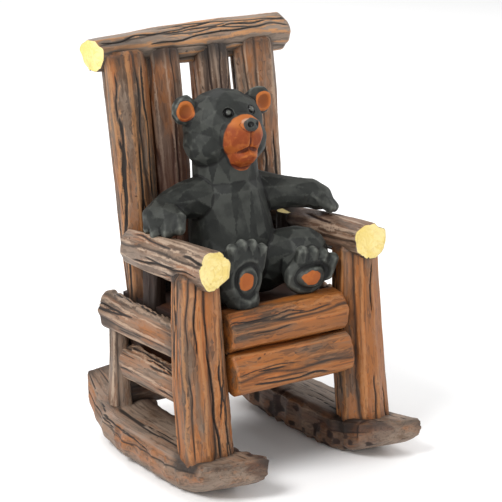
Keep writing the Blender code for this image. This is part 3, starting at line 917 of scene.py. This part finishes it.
def addLump(centre, radii, turn=(0, 0, 0)):
    # One more ball of clay in the mesh that is being edited
    bpy.ops.mesh.primitive_ico_sphere_add(
        subdivisions=4, radius=1, location=bearPlace(centre),
        rotation=[math.radians(angle) for angle in turn],
        scale=[radius * unit for radius in radii],
    )


def addLimb(points, radii):
    points = [np.array(point, float) for point in points]
    shares = np.linspace(0, 1, bear["lumps"])
    for centre, radius in zip(along(points, shares), swell(radii, shares)):
        addLump(centre, (radius,) * 3)


def pressBody():
    addLump((0, 8.6, 12.6), (12.2, 11.2, 12.6))
    addLimb(((0, 9.2, 16), (0, 10.2, 21), (0, 10.8, 26)), (11.4, 10.8, 9.8))
    addLimb(((0, 11.6, 29), (0, 12.6, 38)), (8.8, 8.6))


def pressHead():
    addLump((0, 13, 45.6), (10.9, 9.8, 9.6))
    addLump((0, 5.6, 44.4), (6.3, 6.0, 6.0))
    addLump((0, 4.8, 39.4), (4.2, 4.8, 3.3))
    addLump((0, -0.4, 48.0), (2.2, 1.5, 1.9))
    for side in (-1, 1):
        addLump((side * 5.0, 12, 41.6), (6.8, 6.9, 6.6))
        addLump((side * 11.6, 13.8, 50.6), (4.0, 2.4, 4.0), (0, 0, side * -12))


def pressArms():
    addLimb(((-8.5, 11.2, 27.5), (-14.5, 11.2, 27.2), (-19.6, 10.4, 25.4)), (5.6, 4.7, 4.5))
    addLump((-21.4, 8.4, 24.6), (4.6, 6.4, 4.0), (0, 0, 14))
    for root, tip in (
        ((-22.4, 11.8, 25.0), (-24.3, 11.0, 21.6)),
        ((-22.8, 8.2, 25.4), (-25.0, 6.6, 21.4)),
        ((-21.8, 5.0, 25.4), (-23.6, 3.2, 22.0)),
        ((-20.0, 3.4, 25.4), (-21.2, 1.2, 23.0)),
    ):
        addLimb((root, tip), (2.0, 1.7))
    addLimb(((8.6, 10.6, 27.0), (14.6, 5.0, 27.0), (20.6, 2.4, 26.4)), (5.8, 4.3, 4.0))
    addLump((22.0, 1.2, 25.6), (4.2, 4.8, 3.6), (0, 14, -20))
    for root, tip in (
        ((23.6, 3.4, 25.4), (25.6, 3.2, 23.2)),
        ((23.6, 1.2, 25.4), (25.9, 0.4, 23.0)),
        ((23.0, -0.8, 25.3), (25.0, -2.2, 23.0)),
        ((21.6, -2.0, 25.3), (22.8, -3.8, 23.4)),
    ):
        addLimb((root, tip), (1.9, 1.6))


def pressLegs():
    addLimb(((-6.5, 6, 7.6), (-9, -1, 8.6), (-11.6, -8.0, 10.4)), (7.2, 6.6, 6.2))
    addLump((-10.2, -10.8, 11.6), (5.8, 3.4, 8.0))
    addLump((-10.2, -11.2, 5.6), (4.6, 3.6, 4.4))
    addLump((-10.4, -11.2, 16.4), (6.8, 2.8, 3.6))
    for toe, height in enumerate((19.8, 20.6, 20.2, 18.6)):
        x = -14.4 + toe * 3.1
        addLimb(((x * 0.9 - 1.0, -11.2, height - 4.5), (x, -12.2, height)), (1.9, 1.6))
    addLimb(((7.0, 6, 8), (11.0, -2, 12.6), (12.6, -6.0, 13.4)), (7.4, 6.8, 6.4))
    addLimb(((12.0, -6, 12), (9.6, -10.0, 9.4)), (6.2, 5.4))
    addLump((9.2, -11.4, 9.0), (6.6, 3.0, 5.2), (0, 6, 0))
    for toe, height in enumerate((16.0, 15.4, 14.2, 12.6)):
        x = 7.2 + toe * 3.3
        addLimb(((x * 0.88 + 0.8, -11.6, height - 4.2), (x, -12.6, height)), (1.9, 1.7))


def refine(item, centre, radius, times):
    # Halves the faces near a place, so that finer carving fits there
    for turn in range(times):
        off = np.linalg.norm(faceMiddles(item) - bearPlace(centre), axis=1)
        onlyItem(item)
        selectByFace(item, off < radius * unit)
        bpy.ops.object.mode_set(mode="EDIT")
        bpy.ops.mesh.subdivide(number_cuts=1)
        bpy.ops.mesh.select_all(action="DESELECT")
        bpy.ops.object.mode_set(mode="OBJECT")


def whittle(item):
    # The planes of a coarse copy become the flat cuts of the knife
    onlyItem(item)
    bpy.ops.object.duplicate()
    coarse = bpy.context.object
    share = bear["facets"] / len(coarse.data.polygons) / 2
    applyStep(coarse, "coarse", "DECIMATE", ratio=share)
    faces = [tuple(face.vertices) for face in coarse.data.polygons]
    tree = BVHTree.FromPolygons([tuple(point) for point in readPoints(coarse)], faces)
    rng = np.random.default_rng(bear["seed"])
    tones = rng.uniform(-1, 1, len(faces))
    points = readPoints(item)
    cut = points.copy()
    tone = np.zeros(len(points))
    for index, point in enumerate(points):
        hit = tree.find_nearest(Vector(point))
        cut[index] = hit[0]
        tone[index] = tones[hit[2]]
    local = (points - bearFoot) / unit
    isPaw = (abs(local[:, 0]) > bear["handX"]) | (local[:, 1] < bear["soleY"])
    depth = np.where(isPaw, bear["pawCut"], bear["facetCut"])
    writePoints(item, points + (cut - points) * depth[:, None])
    bpy.data.objects.remove(coarse)
    return tone


bearFace = {  # in the bear's own units, 55 to its height
    "frontY": 5.5,
    "eyeRadius": 0.9, "eyeDome": 0.50, "eyeRing": 1.15, "eyeRingWidth": 0.26, "eyeRingDepth": 0.40,
    "ear": (12.2, 9.4, 50.6), "earRadius": 3.2, "earInnerX": 9.7,
    "nostril": (1.05, -1.5, 48.2), "nostrilRadius": 0.9, "nostrilDepth": 0.60,
    "cleftTop": 46.4, "cleftFoot": 41.0, "cleftWidth": 0.42, "cleftDepth": 0.45,
    "lipHeight": 41.5, "lipDroop": 0.30, "lipHalf": 3.4, "lipWidth": 0.55, "lipDepth": 0.85,
    "underLip": 1.5, "underLipWidth": 0.6, "underLipRise": 0.35,
    "noseHeight": 48.0, "noseHalfWidth": 2.3, "noseHalfHeight": 2.0, "noseBackY": 1.5,
    "noseRim": 1.08, "noseRimWidth": 0.12, "noseRimDepth": 0.12,
    "soleBack": 2.2, "soleGroove": 0.62, "soleDepth": 0.8,
}


def carveFace(item):
    points, normals = readPoints(item), readNormals(item)
    local = (points - bearFoot) / unit
    push = np.zeros(len(points))
    # Eyes: a ring groove round a dome
    for eye in bear["eyes"]:
        off = np.linalg.norm(local - np.array(eye), axis=1)
        push += bearFace["eyeDome"] * np.sqrt(cup(off, bearFace["eyeRadius"]))
        push -= bearFace["eyeRingDepth"] * bell(off - bearFace["eyeRing"], bearFace["eyeRingWidth"])
    # Ears: round hollows
    for side in (-1, 1):
        hollow = np.array(bearFace["ear"]) * (side, 1, 1)
        away = local - hollow
        off = np.linalg.norm(away, axis=1)
        inside = (off < bearFace["earRadius"]) & (abs(local[:, 0]) > bearFace["earInnerX"])
        local[inside] = hollow + away[inside] / off[inside, None] * bearFace["earRadius"]
    x, y, z = local.T
    front = y < bearFace["frontY"]
    # Nostrils, the cleft under the nose, and the mouth
    for side in (-1, 1):
        off = np.linalg.norm(local - np.array(bearFace["nostril"]) * (side, 1, 1), axis=1)
        push -= bearFace["nostrilDepth"] * cup(off, bearFace["nostrilRadius"])
    under = smoothStep((bearFace["cleftTop"] - z) / 0.8) * smoothStep((z - bearFace["cleftFoot"]) / 1.2)
    push -= bearFace["cleftDepth"] * front * under * bell(x, bearFace["cleftWidth"])
    lipLine = bearFace["lipHeight"] - bearFace["lipDroop"] * abs(x)
    reach = smoothStep((bearFace["lipHalf"] - abs(x)) / 2.0) * front
    push -= bearFace["lipDepth"] * reach * bell(z - lipLine, bearFace["lipWidth"])
    below = z - lipLine + bearFace["underLip"]
    push += bearFace["underLipRise"] * reach * bell(below, bearFace["underLipWidth"])
    # Groove round the nose
    up = (z - bearFace["noseHeight"]) / bearFace["noseHalfHeight"]
    rim = np.sqrt((x / bearFace["noseHalfWidth"]) ** 2 + up ** 2)
    isNose = y < bearFace["noseBackY"]
    push -= bearFace["noseRimDepth"] * isNose * bell(rim - bearFace["noseRim"], bearFace["noseRimWidth"])
    # Grooves round the pads of the soles
    for middle, width, height in (bear["nearRing"], bear["farRing"]):
        off = np.sqrt(((x - middle[0]) / width) ** 2 + ((z - middle[2]) / height) ** 2)
        sole = (y < middle[1] + bearFace["soleBack"]) & (abs(off - 1) < 0.6)
        groove = bell((off - 1) * min(width, height), bearFace["soleGroove"])
        push -= bearFace["soleDepth"] * sole * groove
    points = bearFoot + local * unit + normals * (push * unit)[:, None]
    writePoints(item, points)


def bendMeasure(item):
    # Positive on ridges and negative in hollows
    points, normals = readPoints(item), readNormals(item)
    ends = edgeEnds(item)
    first, second = ends.T
    way = points[second] - points[first]
    way /= np.maximum(np.linalg.norm(way, axis=1), 1e-9)[:, None]
    total = np.bincount(first, (way * normals[first]).sum(1), len(points))
    total -= np.bincount(second, (way * normals[second]).sum(1), len(points))
    count = np.bincount(ends.ravel(), minlength=len(points))
    return -total / np.maximum(count, 1)


def spreadOut(item, values, times):
    ends = edgeEnds(item)
    first, second = ends.T
    count = np.bincount(ends.ravel(), minlength=len(values)) + 1
    for turn in range(times):
        total = values + np.bincount(first, values[second], len(values))
        total += np.bincount(second, values[first], len(values))
        values = total / count
    return values


def buildBear():
    deselectAll()
    bpy.ops.mesh.primitive_ico_sphere_add(
        subdivisions=3, radius=0.001, location=bearPlace((0, 9, 14)),
    )
    item = bpy.context.object
    bpy.ops.object.transform_apply(location=True, rotation=True, scale=True)
    item.name = "bearFigure"
    bpy.ops.object.mode_set(mode="EDIT")
    pressBody()
    pressHead()
    pressArms()
    pressLegs()
    bpy.ops.object.mode_set(mode="OBJECT")
    applyStep(item, "press together", "REMESH", mode="VOXEL", voxel_size=bear["voxel"])
    applyStep(item, "rub smooth", "SMOOTH", factor=0.5, iterations=bear["smooth"])
    tone = whittle(item)
    applyStep(item, "soften", "SMOOTH", factor=0.5, iterations=2)
    storeNumber(item, "tone", tone)
    for eye in bear["eyes"]:
        refine(item, eye, 2.6, 2)
    refine(item, (0, -0.6, 48.0), 3.6, 2)
    refine(item, (0, 1.0, 42.5), 6.0, 1)
    carveFace(item)
    # The bear stays a hair's breadth above the seat, as the glue line leaves it
    points = readPoints(item)
    points[:, 2] = np.maximum(points[:, 2], chair["seatHeight"] + bear["gap"])
    writePoints(item, points)
    onlyItem(item)
    bpy.ops.object.shade_smooth()
    print("bear carved,", len(item.data.polygons), "faces")
    return item


# How shut in each point is; the paints darken shut-in points, painted shade between parts and under
# things, which also stands for the dark wash in the hollows

recesses = {"reach": 0.009, "rays": 26, "lowest": 0.12, "lift": 0.00006}


def shadeInto(items):
    reach, count = recesses["reach"], recesses["rays"]
    points, faces = [], []
    start = 0
    for item in items:
        own = readPoints(item)
        points.append(own)
        faces += [[start + corner for corner in face.vertices] for face in item.data.polygons]
        start += len(own)
    tree = BVHTree.FromPolygons([tuple(point) for point in np.concatenate(points)], faces)
    spots = np.arange(count) + 0.5
    polar = np.arccos(1 - 2 * spots / count)
    turn = np.pi * (1 + 5 ** 0.5) * spots
    outward = np.sin(polar)
    directions = np.stack([np.cos(turn) * outward, np.sin(turn) * outward, np.cos(polar)], axis=1)
    for item, own in zip(items, points):
        normals = readNormals(item)
        paintedShade = np.zeros(len(own))
        weight = np.zeros(len(own))
        starts = [Vector(point) for point in own + normals * recesses["lift"]]
        for direction in directions:
            facing = normals @ direction
            heading = Vector(direction)
            for index in np.flatnonzero(facing > recesses["lowest"]):
                hit = tree.ray_cast(starts[index], heading, reach)
                if hit[0] is not None:
                    paintedShade[index] += facing[index] * (1 - hit[3] / reach) ** 0.6
            weight += np.where(facing > recesses["lowest"], facing, 0)
        # stored for the paints as painted shade
        storeNumber(item, "recessShade", spreadOut(item, paintedShade / np.maximum(weight, 1e-6), 1))
    print("recesses found")


# Finishes

def tint(code):
    # A colour from its six-digit code, in the light's own scale
    values = [int(code[place:place + 2], 16) / 255 for place in (1, 3, 5)]
    return tuple(v / 12.92 if v <= 0.04045 else ((v + 0.055) / 1.055) ** 2.4 for v in values) + (1,)


class Value:  # a socket that can be added, multiplied and so on
    def __init__(self, socket):
        self.socket = socket

    def combine(self, operation, other, swapped=False):
        tree = self.socket.id_data
        node = tree.nodes.new("ShaderNodeMath")
        node.operation = operation
        for slot, item in zip(node.inputs, (other, self) if swapped else (self, other)):
            if isinstance(item, Value):
                tree.links.new(item.socket, slot)
            else:
                slot.default_value = item
        return Value(node.outputs[0])

    def __add__(self, other):
        return self.combine("ADD", other)

    def __sub__(self, other):
        return self.combine("SUBTRACT", other)

    def __rsub__(self, other):
        return self.combine("SUBTRACT", other, True)

    def __mul__(self, other):
        return self.combine("MULTIPLY", other)

    __radd__ = __add__
    __rmul__ = __mul__

    def most(self, other):
        return self.combine("MAXIMUM", other)


class Finish:
    def __init__(self, name):
        self.material = bpy.data.materials.new(name)
        self.material.use_nodes = True
        self.tree = self.material.node_tree
        self.shader = self.tree.nodes["Principled BSDF"]

    def add(self, kind, settings=None, sockets=None, output=0):
        # A node of any kind; settings are its own, and sockets its inputs by name or number
        node = self.tree.nodes.new(kind)
        for key, value in (settings or {}).items():
            setattr(node, key, value)
        for key, value in (sockets or {}).items():
            self.plug(node.inputs[key], value)
        return Value(node.outputs[output])

    def plug(self, slot, value):
        if isinstance(value, Value):
            self.tree.links.new(value.socket, slot)
        else:
            slot.default_value = value

    def set(self, **sockets):
        for key, value in sockets.items():
            self.plug(self.shader.inputs[key.replace("_", " ")], value)

    def noise(self, vector, scale, detail=2.0, roughness=0.5):
        sockets = {"Vector": vector, "Scale": scale, "Detail": detail, "Roughness": roughness}
        return self.add("ShaderNodeTexNoise", None, sockets)

    def stretch(self, vector, scale):
        return self.add("ShaderNodeVectorMath", {"operation": "MULTIPLY"}, {0: vector, 1: scale})

    def band(self, value, low, high):
        # 0 below low and 1 above high, smoothly
        sockets = {"Value": value, "From Min": low, "From Max": high}
        return self.add("ShaderNodeMapRange", {"interpolation_type": "SMOOTHSTEP"}, sockets)

    def mix(self, factor, first, second, blend="MIX"):
        settings = {"data_type": "RGBA", "blend_type": blend, "clamp_factor": True}
        return self.add("ShaderNodeMix", settings, {0: factor, 6: first, 7: second}, 2)

    def attribute(self, name, output=2):
        return self.add("ShaderNodeAttribute", {"attribute_name": name}, None, output)

    def split(self, colour):
        node = self.tree.nodes.new("ShaderNodeSeparateColor")
        self.plug(node.inputs[0], colour)
        return [Value(output) for output in node.outputs]

    def bump(self, height, distance, strength):
        sockets = {"Height": height, "Distance": distance, "Strength": strength}
        return self.add("ShaderNodeBump", None, sockets)


woodPaint = {
    "brown": "#543820", "orange": "#98591f", "mauve": "#64503f", "wash": "#8b7868",
    "pale": "#bda48d", "warmEdge": "#b98250", "vivid": "#b2601a", "dark": "#1a110b",
    "seatRedAndShade": "#4a2314", "cut": "#e9cf78", "cutPale": "#f3df98", "cutShade": "#b9873a",
}

woodGrain = {  # how many strokes, specks and holes to a metre, and how long they are drawn out
    "streak": 560, "hair": 1700, "patch": 190, "speck": 1500, "broad": 90, "pinholes": 330.0,
    "longStroke": 0.055, "shortStroke": 0.35, "broadStroke": 0.5,
    "ringWobble": 420, "rings": 4200, "ringBend": 16,
    "bumpHeight": 0.00028, "bumpStrength": 0.8,
}


def paintWood():
    finish = Finish("painted log")
    colours = {name: tint(code) for name, code in woodPaint.items()}
    grain = finish.attribute("grain", 1)
    groove, edge, cut = finish.split(finish.attribute("wear", 0))
    orange, wash, dark = finish.split(finish.attribute("tint", 0))
    recessShade = finish.attribute("recessShade")
    long, short, wide = (
        finish.stretch(grain, (1, 1, woodGrain[stroke]))
        for stroke in ("longStroke", "shortStroke", "broadStroke")
    )
    streak = finish.noise(long, woodGrain["streak"], 4, 0.62)
    hair = finish.noise(long, woodGrain["hair"], 3, 0.65)
    patch = finish.noise(short, woodGrain["patch"], 3, 0.55)
    speck = finish.noise(grain, woodGrain["speck"], 3, 0.6)
    broad = finish.noise(wide, woodGrain["broad"], 2)
    # Under paint, then orange streaks, then the grey-mauve wash
    cloudy = finish.band(patch + (hair - 0.5) * 0.5, 0.35, 0.65)
    colour = finish.mix(cloudy, colours["brown"], colours["mauve"])
    mixed = streak * 0.7 + hair * 0.3
    amount = finish.band(mixed + orange * 0.26 + (broad - 0.5) * 0.9, 0.50, 0.78)
    colour = finish.mix(amount * 0.94, colour, colours["orange"])
    vivid = finish.band(streak + orange * 0.12, 0.62, 0.78) * 0.55
    colour = finish.mix(vivid, colour, colours["vivid"])
    over = finish.band(patch * 0.55 + speck * 0.30 + wash * 0.30, 0.50, 0.80)
    colour = finish.mix(over * wash * (1 - orange * 0.30) * 0.9, colour, colours["wash"])
    fine = finish.band(hair, 0.50, 0.36) * 0.42
    colour = finish.mix(fine, colour, colours["dark"])
    # Dark paint left in the grooves and recesses
    colour = finish.mix(finish.band(groove, 0.10, 0.50) * 0.96, colour, colours["dark"])
    low = finish.band(edge, 0.40, 0.10) * 0.55
    colour = finish.mix(low, colour, colours["dark"])
    # Dry brushing on the ridges: warm on the orange logs, pale on the washed ones
    ridge = finish.band(edge + (speck - 0.5) * 0.7 + (hair - 0.5) * 0.6, 0.70, 1.05)
    brushed = finish.mix(finish.band(orange, 0.25, 0.45), colours["pale"], colours["warmEdge"])
    colour = finish.mix(ridge * (wash * 0.62 + 0.12), colour, brushed)
    # Pinholes
    cells = finish.add(
        "ShaderNodeTexVoronoi", {"feature": "F1"},
        {"Vector": grain, "Scale": woodGrain["pinholes"], "Randomness": 1.0},
    )
    hole = finish.band(cells, 0.085, 0.045) * finish.band(broad, 0.40, 0.55)
    colour = finish.mix(hole * 0.9, colour, colours["dark"])
    # Cut ends
    flat = finish.stretch(grain, (1, 1, 0))
    wobble = finish.noise(grain, woodGrain["ringWobble"], 2)
    radius = finish.add("ShaderNodeVectorMath", {"operation": "LENGTH"}, {0: flat}, 1)
    ring = (radius * woodGrain["rings"] + wobble * woodGrain["ringBend"]).combine("SINE", 0.0)
    rings = finish.band(ring, 0.35, 0.95) * finish.band(wobble, 0.30, 0.60)
    mottled = finish.band(patch + (speck - 0.5) * 0.6, 0.35, 0.65)
    face = finish.mix(mottled, colours["cut"], colours["cutPale"])
    face = finish.mix(rings * 0.16, face, colours["cutShade"])
    face = finish.mix(hole * 0.7, face, colours["cutShade"])
    colour = finish.mix(finish.band(cut, 0.45, 0.55), colour, face)
    # Painted shade: shut-in places and logs with a dark tint turn dark red-brown, then near black; on
    # the seat the dark tint is its own dark red-brown paint
    paintedShade = finish.band(recessShade + dark * 0.30, 0.36, 0.86)
    isWood = 1 - finish.band(cut, 0.45, 0.55)
    colour = finish.mix(finish.band(dark, 0.12, 0.50) * isWood * 0.72, colour, colours["seatRedAndShade"])
    colour = finish.mix(paintedShade * 0.92 * isWood, colour, colours["dark"])
    finish.set(Base_Color=colour, Roughness=speck * 0.18 + 0.48 + groove * 0.2)
    height = hair * 0.8 + streak * 0.9 + speck * 0.30 - hole * 1.2 - rings * cut * 0.3
    finish.set(Normal=finish.bump(height, woodGrain["bumpHeight"], woodGrain["bumpStrength"]))
    return finish.material


furPaint = {
    "charcoal": "#252724", "soot": "#151715", "grey": "#484a45", "paleGrey": "#70726b",
    "orange": "#84380c", "orangeLight": "#b3652a", "orangeDark": "#4c1807", "black": "#0a0a09",
    "rim": "#c2a18c", "nose": "#3a3c3c",
}
furGrain = {
    "wobble": 520, "brush": 1100, "brushStroke": 0.45, "patch": 210, "speck": 3200,
    "bumpHeight": 0.00010, "bumpStrength": 0.6,
}
paintedSpots = {  # middle and radii in the bear's own units, softness and shake of the edge
    "muzzle": ((0.0, 1.6, 43.0), (6.6, 5.6, 7.4), 0.03, 0.10),
    "chin": ((0.0, 2.4, 38.6), (4.2, 5.0, 3.6), 0.04, 0.10),
    "rightEar": ((-12.2, 11.8, 50.6), (2.6, 2.4, 2.7), 0.03, 0.16),
    "leftEar": ((12.2, 11.8, 50.6), (2.6, 2.4, 2.7), 0.03, 0.16),
    "rightEarDepth": ((-12.0, 12.6, 50.0), (1.8, 1.2, 1.8), 0.5, 0.0),
    "leftEarDepth": ((12.0, 12.6, 50.0), (1.8, 1.2, 1.8), 0.5, 0.0),
    "rightPad": ((-10.9, -14.1, 11.3), (2.1, 2.6, 2.4), 0.04, 0.45),
    "leftPad": ((9.0, -14.1, 9.2), (2.6, 2.6, 2.0), 0.04, 0.45),
    "noseRim": ((0.0, -0.4, 48.5), (2.8, 2.6, 2.4), 0.10, 0.15),
    "nose": ((0.0, -0.6, 48.0), (2.25, 2.2, 2.0), 0.04, 0.05),
    "rightNostril": ((-1.05, -1.6, 48.2), (0.88, 1.2, 0.85), 0.10, 0.0),
    "leftNostril": ((1.05, -1.6, 48.2), (0.70, 1.2, 0.70), 0.10, 0.0),
}


def paintBear():
    finish = Finish("charcoal paint")
    colours = {name: tint(code) for name, code in furPaint.items()}
    coords = finish.add("ShaderNodeTexCoord", None, None, 3)
    tone = finish.attribute("tone")
    edge = finish.attribute("edge")
    recessShade = finish.attribute("recessShade")
    local = finish.add(
        "ShaderNodeVectorMath", {"operation": "MULTIPLY_ADD"},
        {0: coords, 1: (1 / unit,) * 3, 2: tuple(-bearFoot / unit)},
    )
    x, y, z = (finish.add("ShaderNodeSeparateXYZ", None, {0: local}, axis) for axis in range(3))
    wobble = finish.noise(coords, furGrain["wobble"], 2)
    strokes = finish.stretch(coords, (1, 1, furGrain["brushStroke"]))
    brush = finish.noise(strokes, furGrain["brush"], 4, 0.65)
    patch = finish.noise(coords, furGrain["patch"], 3)
    speck = finish.noise(coords, furGrain["speck"], 2)

    def spot(centre, radii, soft, shake=0.0):
        # 1 inside an ellipsoid and 0 outside it, with a hand-painted edge
        shifted = finish.add(
            "ShaderNodeVectorMath", {"operation": "SUBTRACT"}, {0: local, 1: centre},
        )
        scaled = finish.stretch(shifted, tuple(1 / radius for radius in radii))
        off = finish.add("ShaderNodeVectorMath", {"operation": "LENGTH"}, {0: scaled}, 1)
        if shake:
            off = off + (wobble - 0.5) * shake
        return finish.band(off, 1 + soft, 1 - soft)

    colour = finish.mix(finish.band(patch, 0.3, 0.7), colours["charcoal"], colours["soot"])
    lift = finish.band(tone * 0.20 + patch, 0.42, 0.76) * 0.60
    colour = finish.mix(lift, colour, colours["grey"])
    dry = finish.band(edge + (brush - 0.5) * 0.9, 0.22, 0.85)
    colour = finish.mix(dry * 0.75, colour, colours["grey"])
    bright = finish.band(edge + (brush - 0.5) * 1.1, 0.70, 1.30)
    colour = finish.mix(bright * 0.55, colour, colours["paleGrey"])
    colour = finish.mix(finish.band(edge, -0.14, -0.60) * 0.85, colour, colours["black"])
    # Orange muzzle, ear hollows and pads
    spots = {name: spot(*shape) for name, shape in paintedSpots.items()}
    mouthPaint = spots["muzzle"].most(spots["chin"])
    ears = spots["rightEar"].most(spots["leftEar"])
    pads = spots["rightPad"].most(spots["leftPad"])
    warm = finish.band(patch + (brush - 0.5) * 0.6 + tone * 0.15, 0.40, 0.70) * 0.45
    warm = warm.most(finish.band(z + x * 0.25, 45.2, 47.4) * 0.9)
    orange = finish.mix(warm, colours["orange"], colours["orangeLight"])
    worn = finish.band(edge + (brush - 0.5) * 0.6, 0.25, 1.0) * 0.7
    orange = finish.mix(worn, orange, colours["orangeLight"])
    hollowed = finish.band(edge, 0.05, -0.6) * (0.85 - ears * 0.5)
    orange = finish.mix(hollowed, orange, colours["orangeDark"])
    orange = finish.mix(pads * 0.5, orange, colours["orangeLight"])
    inEar = spots["rightEarDepth"].most(spots["leftEarDepth"])
    orange = finish.mix(inEar * 0.22, orange, colours["orangeDark"])
    painted = mouthPaint.most(ears).most(pads)
    colour = finish.mix(painted, colour, orange)
    # Nose, nostrils and eyes
    noseRim = spots["noseRim"] * finish.band(z, 47.8, 48.8)
    colour = finish.mix(noseRim * 0.75, colour, colours["rim"])
    noseTone = finish.mix(finish.band(brush, 0.35, 0.7), colours["nose"], colours["grey"])
    colour = finish.mix(spots["nose"], colour, noseTone)
    holes = spots["rightNostril"].most(spots["leftNostril"])
    colour = finish.mix(holes, colour, colours["black"])
    gloss = holes
    for eye in bear["eyes"]:
        ball = spot(eye, (1.45,) * 3, 0.05)
        # a painted highlight on each eye, a pale spot up and towards the front
        paintedHighlight = spot((eye[0] - 0.15, eye[1] - 0.4, eye[2] + 0.25), (0.60,) * 3, 0.3)
        colour = finish.mix(ball, colour, colours["black"])
        colour = finish.mix(paintedHighlight * 0.55, colour, colours["paleGrey"])
        gloss = gloss.most(ball)
    # Painted shade: shut-in places of the bear go towards black, less on the orange paint
    paintedShade = finish.band(recessShade, 0.35, 0.85) * (1 - painted * 0.85)
    colour = finish.mix(paintedShade * 0.85, colour, colours["black"])
    finish.set(Base_Color=colour)
    finish.set(Roughness=0.56 + speck * 0.12 - gloss * 0.30, Specular_IOR_Level=0.32)
    height = brush * 0.9 + speck * 0.25 + patch * 0.5
    finish.set(Normal=finish.bump(height, furGrain["bumpHeight"], furGrain["bumpStrength"]))
    return finish.material


buildStage()
chairPiece = buildChair()
bearPiece = buildBear()
bends = spreadOut(bearPiece, bendMeasure(bearPiece), 1)
storeNumber(bearPiece, "edge", np.clip(bends / bear["sharpBend"], -1.5, 1.5))
shadeInto((chairPiece, bearPiece))
chairPiece.data.materials.clear()
chairPiece.data.materials.append(paintWood())
bearPiece.data.materials.clear()
bearPiece.data.materials.append(paintBear())

for piece, node, slotName in (
    (chairPiece, "rocking_chair", "painted_log"),
    (bearPiece, "bear", "charcoal_paint"),
):
    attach(piece, "root")
    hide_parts(node)

print("pieces ready")
